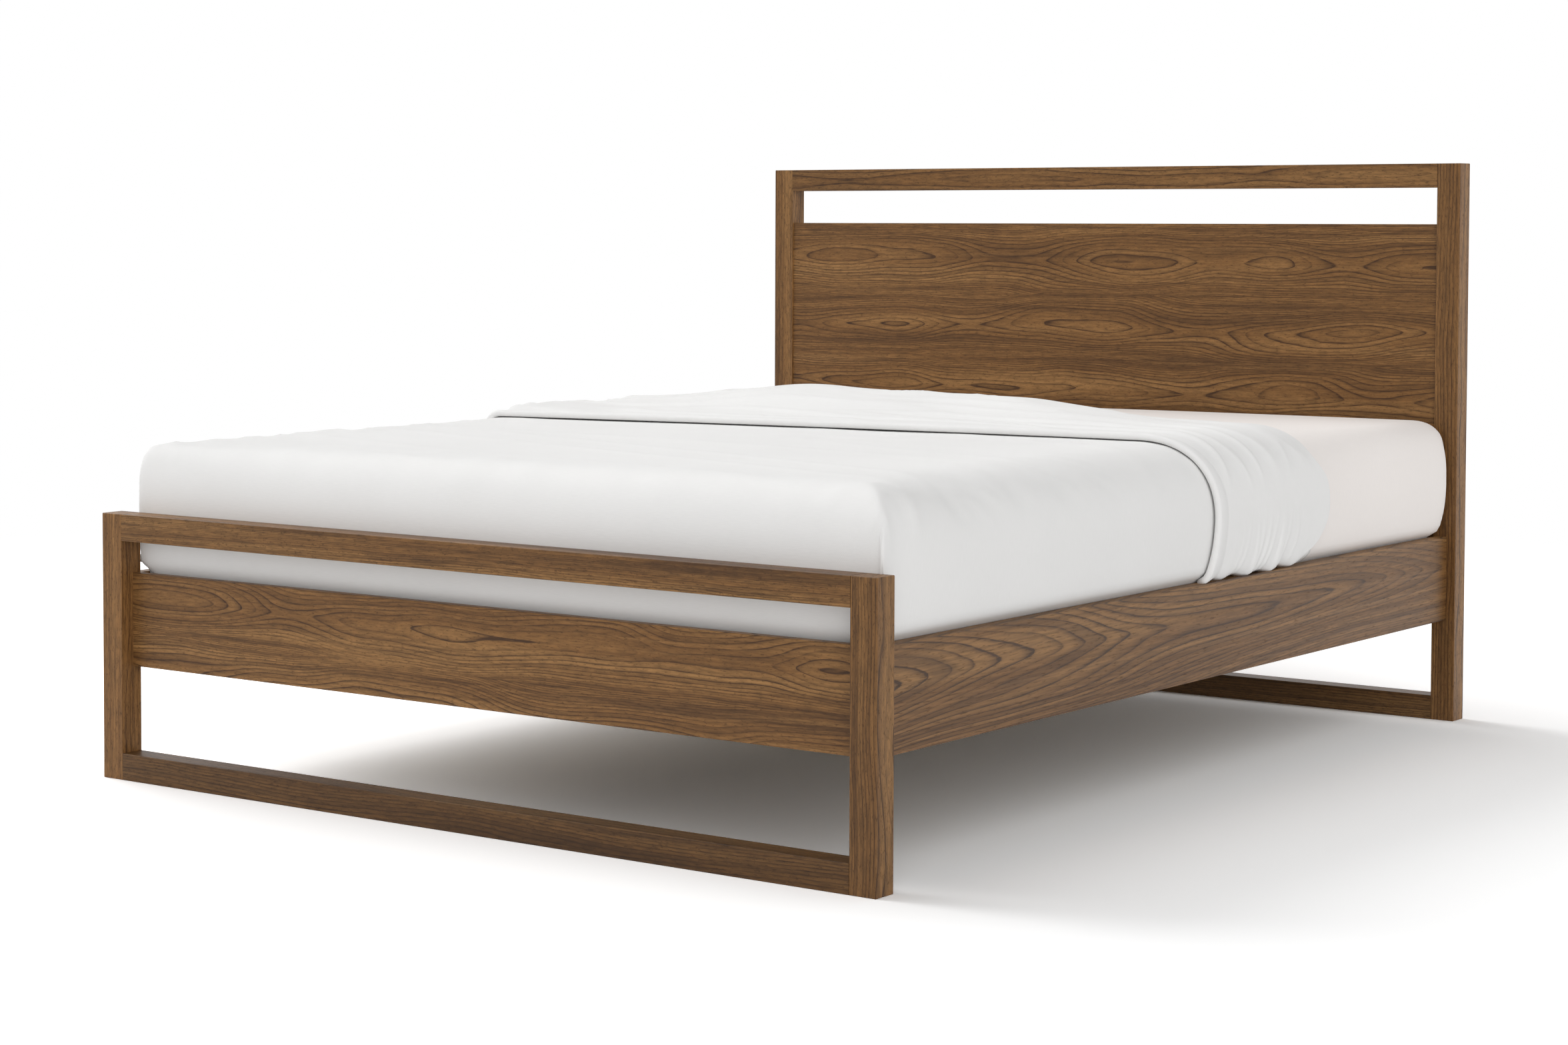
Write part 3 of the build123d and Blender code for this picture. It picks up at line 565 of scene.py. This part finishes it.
class MattressForm:
    """The made-up mattress's rounded box, grown by a skin"""

    # How square the edges' rolls are, and the blend of two of them at a corner
    SOFT, FIRM, FOOT, CORNER, BLEND = 2.3, 3.0, 3.1, 3.4, 4.0
    # Where along the bed the right edge firms up by the head and softens after the foot corner
    HEAD_FIRM, FOOT_FIRM = (0.42, 0.85), (-1.02, -0.75)
    # Where along the bed the sides get fuller, and how far above the rails these pinch
    HEAD_FULL, PINCH = (0.3, 1.0), 0.016
    # How late the sides draw in on their way down, and a roll's length over that of its chord
    DRAW_POWER, ROLL_LENGTH = 4, 1.1

    def __init__(self, bedding, skin, right_corner):
        self.half_x, self.half_y, self.top = (side + skin for side in MATTRESS_HIGH)
        self.bottom = MATTRESS_LOW.z
        self.bulge_z = self.bottom + bedding.bulge
        self.fall = self.top - self.bulge_z
        self.left_corner, self.right_corner = bedding.left_corner + skin, right_corner + skin
        self.bedding = bedding

    def stations(self, step, hem_z):
        """Stations across and along the bed, down to a hem."""
        reach = self.bedding.shoulder_right
        roll = self.ROLL_LENGTH * math.hypot(reach, self.fall)
        hang = self.bulge_z - hem_z
        return [Stations.over((half - reach, roll, hang), step) for half in (self.half_x, self.half_y)]

    def rolled(self, stations, half, reach, square):
        """How far stations lie from the middle and below the top, where the edge rolls within a reach."""
        power = 2 / square
        place = stations.flat * (half - reach) + reach * np.sin(stations.roll) ** power
        return stations.sign * place, self.fall * (1 - np.cos(stations.roll) ** power) + stations.hang

    def drawn_in(self, z):
        """What share of the draw-in underneath the sides have made at a height."""
        return np.clip((self.bulge_z - z) / (self.bulge_z - self.bottom), 0, 1.1) ** self.DRAW_POWER

    def points(self, across, along):
        """The grid of places where stations across and along the bed meet."""
        bedding = self.bedding
        # The foot edge is a soft roll that firms up towards the corners, sooner at the right
        share = np.where(across.roll > 0, 1, across.flat) * across.sign
        soft = np.where(share > 0, (1 - share**2) ** 0.7, 1 - share**4)
        corner = np.where(share > 0, bedding.shoulder_corner, bedding.shoulder_left_corner)
        foot = between(corner, bedding.shoulder_foot, soft)
        square = between(self.CORNER, self.FOOT, soft)
        along = along.upright()
        at_foot = along.sign < 0
        reach = np.where(at_foot, foot, bedding.shoulder_head)
        square = np.where(at_foot, square, self.FIRM)
        return self.surface(across, *self.rolled(along, self.half_y, reach, square))

    def surface(self, across, y, y_drop):
        """Places at stations across the bed, at these distances along it and drops below the top."""
        bedding = self.bedding
        # The right edge is a soft roll that firms up by the head and at the foot corner
        soft = 1 - ease(y, *self.HEAD_FIRM)
        right = between(bedding.shoulder_firm, bedding.shoulder_right, soft)
        square = between(self.FIRM, self.SOFT, soft)
        by_corner = 1 - ease(y, *self.FOOT_FIRM)
        right = between(right, bedding.shoulder_corner, by_corner)
        square = between(square, self.CORNER, by_corner)
        on_right = across.sign > 0
        reach = np.where(on_right, right, bedding.shoulder_left)
        square = np.where(on_right, square, self.FIRM)
        x, x_drop = self.rolled(across, self.half_x, reach, square)
        drop = (x_drop**self.BLEND + y_drop**self.BLEND) ** (1 / self.BLEND)
        z = self.top - drop - bedding.lean * (0.5 - 0.5 * x / self.half_x) ** 2
        # The sides are fuller by the head, and everything draws in underneath and is pinched by the frame
        under = self.drawn_in(z)
        full = bedding.head_bulge * ease(y, *self.HEAD_FULL) * ease(z, self.bottom, self.bulge_z)
        pinched = ease(z, RAIL_TOP + self.PINCH, RAIL_TOP)
        half_x = self.half_x - bedding.side_draw * under - bedding.rail_nip * pinched + full
        half_y = self.half_y - bedding.end_draw * under - bedding.panel_nip * pinched
        x, y = x * half_x / self.half_x, y * half_y / self.half_y
        # Its corners are round in plan
        corner = np.where(x < 0, self.left_corner, self.right_corner)
        over_x, over_y = np.abs(x) - (half_x - corner), np.abs(y) - (half_y - corner)
        cornered = (over_x > 0) & (over_y > 0)
        length = np.where(cornered, np.hypot(over_x, over_y), 1)
        share = np.where(cornered, np.maximum(over_x, over_y) / length, 1)
        x = np.where(cornered, np.sign(x) * (half_x - corner + over_x * share), x)
        y = np.where(cornered, np.sign(y) * (half_y - corner + over_y * share), y)
        return np.stack((x, y, z), -1)


def new_piece(name, points, faces, uv):
    """A mesh object with smooth faces and a UV map in metres of cloth."""
    mesh = bpy.data.meshes.new(name)
    mesh.from_pydata([tuple(p) for p in points], [], faces)
    order = np.zeros(len(mesh.loops), int)
    mesh.loops.foreach_get("vertex_index", order)
    mesh.uv_layers.new(name="Cloth").data.foreach_set("uv", np.asarray(uv)[order].ravel())
    mesh.shade_smooth()
    piece = bpy.data.objects.new(name, mesh)
    bpy.context.scene.collection.objects.link(piece)
    return piece


def use_only(piece):
    """Makes a piece the active and only selected object."""
    bpy.ops.object.select_all(action="DESELECT")
    piece.select_set(True)
    bpy.context.view_layer.objects.active = piece


def thicken(piece, thickness):
    """Gives a cloth its thickness, inwards."""
    made = piece.modifiers.new("Thickness", "SOLIDIFY")
    made.thickness, made.offset = thickness, -1.0
    use_only(piece)
    bpy.ops.object.modifier_apply(modifier=made.name)


WELD = 0.0002


def weld(piece):
    """Joins the cloth's edges where they meet and turns its faces outwards."""
    use_only(piece)
    bpy.ops.object.mode_set(mode="EDIT")
    bpy.ops.mesh.select_all(action="SELECT")
    bpy.ops.mesh.remove_doubles(threshold=WELD)
    bpy.ops.mesh.normals_make_consistent(inside=False)
    bpy.ops.object.mode_set(mode="OBJECT")


def grid_faces(rows, columns):
    """The four corners of each cell of a grid of points."""
    row, column = np.meshgrid(np.arange(rows - 1), np.arange(columns - 1), indexing="ij")
    first = row * columns + column
    return np.stack((first, first + 1, first + columns + 1, first + columns), -1)


def sheet_piece(name, form, across, along):
    """A sheet over these stations, cut out at its corners and joined there."""
    grid = form.points(across, along)
    rows, columns = grid.shape[:2]
    uv = np.stack(np.broadcast_arrays(across.run[None], along.run[:, None]), -1).reshape(-1, 2)
    row, column = np.arange(rows - 1)[:, None], np.arange(columns - 1)[None]
    on_side = (column < across.edges[0]) | (column >= across.edges[1])
    on_end = (row < along.edges[0]) | (row >= along.edges[1])
    faces = grid_faces(rows, columns)[~(on_side & on_end)]
    used, faces = np.unique(faces, return_inverse=True)
    piece = new_piece(name, grid.reshape(-1, 3)[used], faces.reshape(-1, 4).tolist(), uv[used])
    weld(piece)
    return piece


def vertex_arrays(piece):
    """A piece's vertex places and normals."""
    places = np.zeros(len(piece.data.vertices) * 3)
    normals = np.zeros_like(places)
    piece.data.vertices.foreach_get("co", places)
    piece.data.vertices.foreach_get("normal", normals)
    return places.reshape(-1, 3), normals.reshape(-1, 3)


def move_to(piece, places):
    """Puts a piece's vertices at these places."""
    piece.data.vertices.foreach_set("co", places.ravel())
    piece.data.update()


WEAVE_INPUTS = {"Cloth": "Vector", "Place": "Vector", "Thread": "Float", "Tint": "Color"}
COTTON_THREAD, TICKING_THREAD = 0.0009, 0.0016
COTTON_RELIEF, TICKING_RELIEF = 0.35, 0.5
COTTON_SHINE = {"Sheen Weight": 0.12, "Sheen Roughness": 0.5, "Specular IOR Level": 0.25}


def cotton_weave(bench, given):
    """A plain weave on cloth coordinates with slubs and soft creases."""
    split = bench.split(given["Cloth"])
    turns = [bench.times(bench.math("DIVIDE", split[axis], given["Thread"]), math.pi) for axis in "XY"]
    weave = bench.times(*(bench.math("SINE", turn) for turn in turns))
    slub = bench.noise(given["Cloth"], (60, 900, 1))
    crease = bench.noise(given["Place"], (9, 9, 14), 4.0, 0.55)
    cloud = bench.noise(given["Place"], (3, 3, 3))
    height = bench.times_plus(slub, 0.35, bench.times(weave, 0.25))
    cloudy, slubby = (bench.spread(*what, 0.985, 1.01) for what in ((cloud, 0.3, 0.7), (slub, 0.3, 0.75)))
    return {
        "Color": bench.brightened(given["Tint"], bench.times(cloudy, slubby)),
        "Roughness": bench.times_plus(slub, 0.1, 0.78),
        "Height": bench.times_plus(crease, 3.0, height),
    }


def cloth_material(name, tint, thread=COTTON_THREAD, relief=COTTON_RELIEF):
    """Cotton of this tint and thread."""
    material, bench, shader = new_material(name, COTTON_SHINE)
    inputs = {
        "Cloth": bench.add("UVMap", uv_map="Cloth").outputs[0],
        "Place": bench.place(),
        "Thread": thread,
        "Tint": (*tint, 1.0),
    }
    weave = shared_group("Cotton weave", WEAVE_INPUTS, cotton_weave)
    finish_shader(bench, shader, bench.add("Group", inputs, node_tree=weave), relief)
    return material


def dress(piece, node, material):
    """Puts a finished piece of bedding in place of its CAD node."""
    piece.data.materials.append(material)
    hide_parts(node)
    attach(piece, BEDDING_BODY)


# How fine each piece's mesh is
MATTRESS_STEP, FITTED_STEP, COVERLET_STEP, FOLD_STEP = 0.018, 0.012, 0.010, 0.0065
# Air under the fitted sheet and the coverlet, and the room that the turned-down sheet leaves for creases
FITTED_AIR, COVERLET_AIR, CREASE_ROOM = 0.0003, 0.0006, 0.0040
# Hems above the mattress's underside, and above the side rails
FITTED_HEM, COVERLET_HEM, FOLD_HEM = 0.004, 0.020, 0.006
UNDERSIDE_BORDER = 0.03


class BED_OT_mattress(bpy.types.Operator):
    """Make the mattress with its full sides and flat underside"""

    bl_idname = "bed.mattress"
    bl_label = "Mattress"

    def execute(self, context):
        bedding = context.scene.bed_bedding
        form = MattressForm(bedding, 0.0, bedding.right_corner)
        piece = sheet_piece("mattress_body", form, *form.stations(MATTRESS_STEP, form.bottom))
        bpy.ops.object.mode_set(mode="EDIT")
        bpy.ops.mesh.select_mode(type="EDGE")
        bpy.ops.mesh.select_all(action="DESELECT")
        bpy.ops.mesh.select_non_manifold()
        bpy.ops.mesh.edge_face_add()
        bpy.ops.mesh.inset(thickness=UNDERSIDE_BORDER)
        bpy.ops.mesh.select_all(action="SELECT")
        bpy.ops.mesh.normals_make_consistent(inside=False)
        bpy.ops.object.mode_set(mode="OBJECT")
        ticking = cloth_material("Mattress ticking", bedding.ticking, TICKING_THREAD, TICKING_RELIEF)
        dress(piece, "mattress", ticking)
        return {"FINISHED"}


# The fitted sheet's gathers: how high, how close and how far from a corner
GATHER_RISE, GATHER_PACE, GATHER_REACH = 0.0022, 420, 0.20


class BED_OT_fitted_sheet(bpy.types.Operator):
    """Stretch the fitted sheet over the mattress, gathered at its corners"""

    bl_idname = "bed.fitted_sheet"
    bl_label = "Fitted Sheet"

    def execute(self, context):
        bedding = context.scene.bed_bedding
        form = MattressForm(bedding, bedding.fitted_thickness + FITTED_AIR, bedding.right_corner)
        stations = form.stations(FITTED_STEP, form.bottom + FITTED_HEM)
        piece = sheet_piece("fitted_sheet_cloth", form, *stations)
        places, normals = vertex_arrays(piece)
        x, y, z = places.T
        from_corner = np.hypot(form.half_x - np.abs(x), form.half_y - np.abs(y))
        gathers = np.sin(GATHER_PACE * (np.abs(x) - np.abs(y))) ** 2
        low = ease(z, form.bulge_z, form.bottom)
        rise = GATHER_RISE * gathers * hill(from_corner, GATHER_REACH) * low
        move_to(piece, places + normals * rise[:, None])
        thicken(piece, bedding.fitted_thickness)
        cotton = cloth_material("Fitted sheet cotton", bedding.warm_white)
        dress(piece, "fitted_sheet", cotton)
        return {"FINISHED"}


# How far the coverlet stands off all over, in drags over its sides, in pulls over the foot and in creases
STAND_OFF, DRAG, PULL, CREASE = 0.0006, 0.0034, 0.0016, 0.0022


def coverlet_creases(form, places):
    """How far the coverlet stands off: scalloped drags over its edges and long soft creases on top."""
    x, y, z = places.T
    high = ease(z, form.bulge_z + 0.02, form.top - 0.02)
    from_side, from_foot = form.half_x - np.abs(x), y + form.half_y
    drag = ridge_noise((y + 0.9 * from_side) * 13, from_side * 6, 3.0) * hill(from_side - 0.03, 0.16)
    drag = drag * (0.35 + 0.65 * ease(y, 0.0, -0.8))
    pull = soft_noise(x * 15, from_foot * 5, 9.0) * hill(from_foot - 0.04, 0.22)
    crease = ridge_noise(x * 1.3 + 2.0 * y, (y + 0.25 * x) * 7, 5.0)
    return STAND_OFF + high * (DRAG * drag + PULL * pull + CREASE * crease)


# The mitred fold's lip: how it starts below the top and ends above the post, its width and its way back
LIP_START, LIP_END, LIP_WIDTH, LIP_BACK = (0.022, 0.050), 0.012, (0.0065, 0.0035), (0.045, 0.004)
# How much of the lip's rise shows at the side
LIP_ASIDE = 0.4


def mitre_lip(form, places):
    """How far the side flap's edge stands out over the foot face at the right corner, above the post."""
    x, y, z = places.T
    half_x = x[np.abs(y + form.half_y) < 0.3].max()
    under = form.drawn_in(z)
    from_side = half_x - form.bedding.side_draw * under - x
    from_foot = y + form.half_y - form.bedding.end_draw * under
    start, full = LIP_START
    low = ease(z, form.top - start, form.top - full) * ease(z, POST_TOP - LIP_END, POST_TOP)
    return ease(from_side, *LIP_WIDTH) * ease(from_foot, *LIP_BACK) * low


class BED_OT_coverlet(bpy.types.Operator):
    """Lay the coverlet and tuck it in, with a mitred fold at its right foot corner"""

    bl_idname = "bed.coverlet"
    bl_label = "Coverlet"

    def execute(self, context):
        bedding = context.scene.bed_bedding
        skin = bedding.fitted_thickness + COVERLET_AIR + bedding.coverlet_thickness
        form = MattressForm(bedding, skin, bedding.coverlet_corner)
        across, along = form.stations(COVERLET_STEP, form.bottom + COVERLET_HEM)
        flat = along.sign * along.flat * (form.half_y - bedding.shoulder_foot)
        along = along.before(np.sum(flat <= bedding.coverlet_head))
        piece = sheet_piece("coverlet_cloth", form, across, along)
        places, normals = vertex_arrays(piece)
        lip = bedding.mitre_lip * mitre_lip(form, places)
        places = places + normals * coverlet_creases(form, places)[:, None]
        places[:, 1] -= lip
        places[:, 0] += LIP_ASIDE * lip
        move_to(piece, places)
        thicken(piece, bedding.coverlet_thickness)
        dress(piece, "coverlet", cloth_material("Coverlet cotton", bedding.white))
        return {"FINISHED"}


class TurnedDownBand:
    """The turned-down sheet as rows of places from its rolled foot edge to its thin head edge"""

    LIP_ROWS, BODY_ROWS, TAIL_ROWS = 8, 102, 4
    # Half the folded cloth's thickness, and the air under it on the sides and more on top
    THIN, AIR, TOP_AIR = 0.0028, 0.0015, 0.003
    # How far the edges swing towards the foot on their way down the side
    FOOT_SWING, HEAD_SWING, SHOULDER_SWING = 0.028, 0.105, 0.02
    # Soft swells of the loose top: height, place across the bed and reach
    SWELLS = ((0.035, -0.03, 0.71), (0.012, -0.23, 0.18), (0.007, -0.40, 0.36))
    SWELL_BASE, LEFT_SWELL = 0.002, 0.021
    BROAD_WRINKLE, FINE_WRINKLE = 0.0085, 0.0055

    def __init__(self, bedding, form):
        self.bedding, self.form = bedding, form
        hem = RAIL_TOP + FOLD_HEM
        self.across, _ = form.stations(FOLD_STEP, hem)
        _, self.fall = form.rolled(self.across, form.half_x, bedding.shoulder_right, form.SOFT)
        # How far down the side, from -1 at the shoulder over 0 at the fullest line to 1 at the hem
        self.low = np.clip((self.fall - form.fall) / (form.bulge_z - hem), -1, 1)
        self.side = np.clip(self.low, 0, 1)
        share = 0.5 + 0.5 * self.across.sign * self.across.flat
        arc = self.across.run
        foot = between(bedding.fold_foot_left, bedding.fold_foot_right, share)
        foot = foot - self.FOOT_SWING * self.side**1.6
        head = between(bedding.fold_head_left, bedding.fold_head_right, share)
        head = head + 0.010 * np.sin(9 * arc + 0.6) + 0.005 * np.sin(23 * arc)
        by_shoulder = hill(self.low + 0.9, 0.5) * ease(arc, 0.2, 0.6)
        head = head - self.HEAD_SWING * self.side**2.2 - self.SHOULDER_SWING * by_shoulder
        roll, length = bedding.fold_roll, head - foot
        lip = roll * (1 - np.cos(np.linspace(0, math.pi / 2, self.LIP_ROWS)))
        tail = self.THIN * (1 - np.cos(np.linspace(0, math.pi / 2, self.TAIL_ROWS)))[::-1]
        body = np.linspace(0, 1, self.BODY_ROWS + 2)[1:-1, None] * (length - roll - self.THIN)
        lip = np.repeat(lip[:, None], len(arc), 1)
        self.from_foot = np.concatenate((lip, roll + body, length - tail[:, None]))
        self.from_head = length - self.from_foot
        self.y = foot + self.from_foot
        self.arc = np.broadcast_to(arc, self.y.shape)
        self.ratio = self.from_foot / length

    def half_thickness(self):
        """Half the folded cloth's thickness: a round lip at the foot, thin at the head."""
        roll, thin = self.bedding.fold_roll, self.THIN
        body = between(thin, roll, hill(self.from_foot - roll, 0.045))
        lip = roll * np.sqrt(np.clip(1 - (1 - self.from_foot / roll) ** 2, 0, 1))
        tail = thin * np.sqrt(np.clip(1 - (1 - self.from_head / thin) ** 2, 0, 1))
        return np.where(self.from_foot < roll, lip, np.where(self.from_head < thin, tail, body))

    def loose_rise(self):
        """Air under the top by its head edge."""
        hills = (height * hill(self.arc - place, reach) for height, place, reach in self.SWELLS)
        crest = 0.70 + 0.05 * np.sin(4 * self.arc + 1)
        rising, falling = ease(self.ratio, 0.16, crest), 1 - ease(self.ratio, crest, 1.0)
        swell = (self.SWELL_BASE + sum(hills)) * np.where(self.ratio < crest, rising, falling)
        return swell + self.LEFT_SWELL * hill(self.arc + 0.80, 0.30) * hill(self.ratio - 0.28, 0.28)

    def wrinkles(self):
        """Ridges that run across the bed, finer and flatter towards the right shoulder."""
        aslant = self.y + 0.10 * self.arc + 0.018 * soft_noise(self.arc * 4, self.y * 3, 2.0)
        broad = soft_noise(self.arc * 1.7, aslant * 10, 4.0)
        fine = ridge_noise(self.arc * 2.6, aslant * 17, 7.0)
        left = 0.3 + 0.7 * ease(-self.arc, -0.55, 0.0)
        inner = ease(self.from_foot, 0.015, 0.06) * ease(self.from_head, 0.0, 0.06)
        return inner * (self.BROAD_WRINKLE * left * broad + self.FINE_WRINKLE * fine)

    def pleats(self):
        """Fine pleats over the right rail that fan out downwards, their feet nearer the foot end."""
        low = np.broadcast_to(self.low, self.y.shape)
        leaning = self.y + 0.045 * self.side**2 + 0.007 * soft_noise(self.y * 12, low, 5.0)
        fold = ridge_noise(leaning * self.bedding.pleat_density, low * 0.6, 6.0)
        deep = ease(low, -0.2, 0.9) * hill(self.from_foot - 0.235, 0.18) * (self.arc > 0)
        return self.bedding.pleat_rise * deep * fold

    def surfaces(self):
        """The cloth's outer and inner places."""
        roll, gap = self.bedding.fold_roll, self.bedding.fold_gap
        half = self.half_thickness()
        on_top = 1 - ease(np.broadcast_to(self.fall, self.y.shape), 0.015, 0.10)
        front = (2 * roll + gap) * hill(np.maximum(self.from_foot - roll, 0), 0.07)
        loose = on_top * (self.TOP_AIR + self.loose_rise() + self.wrinkles())
        rise = np.maximum(2 * self.THIN + self.AIR + loose + self.pleats(), front)
        lift = np.where(self.from_foot < roll, roll + gap, rise - half)
        lift = np.maximum(lift, half + 0.0004)
        base = self.form.surface(self.across, self.y, np.zeros_like(self.y))
        # The hem waves a little
        base[..., 2] += 0.004 * np.sin(70 * self.y) * self.side**2
        slope_x, slope_z = np.gradient(base[..., 0], axis=1), np.gradient(base[..., 2], axis=1)
        size = np.hypot(slope_x, slope_z)
        normal = np.stack((-slope_z / size, np.zeros_like(size), slope_x / size), -1)
        return base + normal * (lift + half)[..., None], base + normal * (lift - half)[..., None]


class BED_OT_turned_down_sheet(bpy.types.Operator):
    """Turn the top sheet down over the coverlet, loose on top and pleated over the right rail"""

    bl_idname = "bed.turned_down_sheet"
    bl_label = "Turned-down Sheet"

    def execute(self, context):
        bedding = context.scene.bed_bedding
        skin = bedding.fitted_thickness + bedding.coverlet_thickness + CREASE_ROOM
        band = TurnedDownBand(bedding, MattressForm(bedding, skin, bedding.coverlet_corner))
        rows, columns = band.y.shape
        faces = grid_faces(rows, columns).reshape(-1, 4)
        under = faces[:, ::-1] + rows * columns
        ends = np.arange(rows)[:, None] * columns + np.array((0, columns - 1))
        low, high = ends[:-1].ravel(), ends[1:].ravel()
        sides = np.stack((low, high, high + rows * columns, low + rows * columns), -1)
        uv = np.stack((band.arc, band.y), -1).reshape(-1, 2)
        piece = new_piece(
            "turned_down_sheet_cloth",
            np.concatenate([places.reshape(-1, 3) for places in band.surfaces()]),
            np.concatenate((faces, under, sides)).tolist(),
            np.concatenate((uv, uv)),
        )
        weld(piece)
        cotton = cloth_material("Top sheet cotton", bedding.white)
        dress(piece, "turned_down_sheet", cotton)
        return {"FINISHED"}


# Stage

FLOOR_SIZE, SENSOR_WIDTH = 60.0, 36.0
# How far from the bed's middle the floor turns white
WHITE_FROM, WHITE_AT = 2.2, 4.5
# Where painted light makes the floor paler under the bed's left side, towards the lamps, across the bed and
# from its foot
PAINTED_LIGHT_ACROSS, PAINTED_LIGHT_ALONG = (0.1, -0.5), (-1.06, -0.80)
# Lamps: strength's setting, and in degrees heading from the foot end to the left, height and spread
LAMPS = (("key", 90, 32, 42), ("high_key", 90, 56, 60), ("fill", -50, 25, 56))


def seen_rays(bench):
    """1 on rays that the camera sees directly, in gloss or through glass."""
    path = bench.add("LightPath").outputs
    seen = bench.math("MAXIMUM", path["Is Camera Ray"], path["Is Glossy Ray"])
    return bench.math("MAXIMUM", seen, path["Is Transmission Ray"])


def floor_material(tint, lift, painted_left_light):
    """A pale floor that keeps the bed's shadow, with painted light under the bed's left side towards the
    lamps, and white away from the bed.
    """
    material, bench = empty_material("Pale floor")
    place = bench.place()
    distance = bench.add("VectorMath", {0: place}, operation="LENGTH").outputs["Value"]
    seen = seen_rays(bench)
    white = bench.times(bench.spread(distance, WHITE_FROM, WHITE_AT), seen)
    split = bench.split(place)
    # Painted light: on seen rays the floor is lifted more under the bed's left side, as if lit from the left
    painted_light_share = bench.times(bench.spread(split["X"], *PAINTED_LIGHT_ACROSS), bench.spread(split["Y"], *PAINTED_LIGHT_ALONG))
    pale = bench.brightened(tint, bench.times_plus(painted_light_share, painted_left_light - lift, lift))
    lit = bench.add("BsdfDiffuse", {"Color": bench.mix(seen, (*tint, 1), pale)})
    glow = bench.add("Emission", {"Color": (1, 1, 1, 1), "Strength": 1.0})
    both = bench.add("MixShader", {0: white, 1: lit.outputs[0], 2: glow.outputs[0]})
    bench.add("OutputMaterial", {"Surface": both.outputs[0]})
    return material


class BED_OT_stage(bpy.types.Operator):
    """Set the floor, the light and the camera"""

    bl_idname = "bed.stage"
    bl_label = "Stage"

    def execute(self, context):
        stage = context.scene.bed_stage
        bpy.ops.object.select_all(action="DESELECT")
        bpy.ops.mesh.primitive_plane_add(size=FLOOR_SIZE, location=(0, 0, 0))
        floor = context.object
        floor.name = "studio_floor"
        floor.data.materials.append(floor_material(stage.floor, stage.floor_lift, stage.painted_left_light))

        world = bpy.data.worlds.new("White studio")
        world.use_nodes = True
        world.node_tree.nodes.clear()
        bench = NodeBench(world.node_tree)
        levels = {0: seen_rays(bench), 2: stage.sky, 3: 1.0}
        level = bench.add("Mix", levels, data_type="FLOAT").outputs[0]
        sky = bench.add("Background", {"Color": (1, 1, 1, 1), "Strength": level})
        bench.add("OutputWorld", {"Surface": sky.outputs[0]})
        context.scene.world = world

        for setting, *angles in LAMPS:
            heading, height, spread = map(math.radians, angles)
            bpy.ops.object.light_add(type="SUN", rotation=(math.pi / 2 - height, 0, -heading))
            lamp = context.object
            lamp.name = f"{setting}_light"
            lamp.data.energy, lamp.data.angle = getattr(stage, setting), spread

        rotation = (math.pi / 2 - stage.camera_tilt, 0, stage.camera_turn)
        bpy.ops.object.camera_add(location=stage.camera_place, rotation=rotation)
        camera = context.object
        camera.data.sensor_width = SENSOR_WIDTH
        camera.data.lens = stage.camera_lens
        camera.data.shift_x, camera.data.shift_y = stage.camera_shift
        context.scene.camera = camera
        context.scene.view_settings.view_transform = "Standard"
        return {"FINISHED"}


class BED_PT_panel(bpy.types.Panel):
    """The bed's steps in the sidebar"""

    bl_idname = "BED_PT_panel"
    bl_label = "Walnut Panel Bed"
    bl_space_type = "VIEW_3D"
    bl_region_type = "UI"
    bl_category = "Bed"

    def draw(self, context):
        for operator in OPERATORS:
            self.layout.operator(operator.bl_idname)


OPERATORS = (
    BED_OT_walnut_frame,
    BED_OT_slatted_base,
    BED_OT_hardware,
    BED_OT_mattress,
    BED_OT_fitted_sheet,
    BED_OT_coverlet,
    BED_OT_turned_down_sheet,
    BED_OT_stage,
)
SETTINGS = (("bed_wood", WoodSettings), ("bed_bedding", BeddingSettings), ("bed_stage", StageSettings))


def register():
    for name, settings in SETTINGS:
        bpy.utils.register_class(settings)
        setattr(bpy.types.Scene, name, PointerProperty(type=settings))
    for made in (*OPERATORS, BED_PT_panel):
        bpy.utils.register_class(made)


def unregister():
    for made in reversed((*OPERATORS, BED_PT_panel)):
        bpy.utils.unregister_class(made)
    for name, settings in reversed(SETTINGS):
        delattr(bpy.types.Scene, name)
        bpy.utils.unregister_class(settings)


def main():
    register()
    bpy.ops.bed.walnut_frame()
    bpy.ops.bed.slatted_base()
    bpy.ops.bed.hardware()
    bpy.ops.bed.mattress()
    bpy.ops.bed.fitted_sheet()
    bpy.ops.bed.coverlet()
    bpy.ops.bed.turned_down_sheet()
    bpy.ops.bed.stage()


if __name__ == "__main__":
    main()
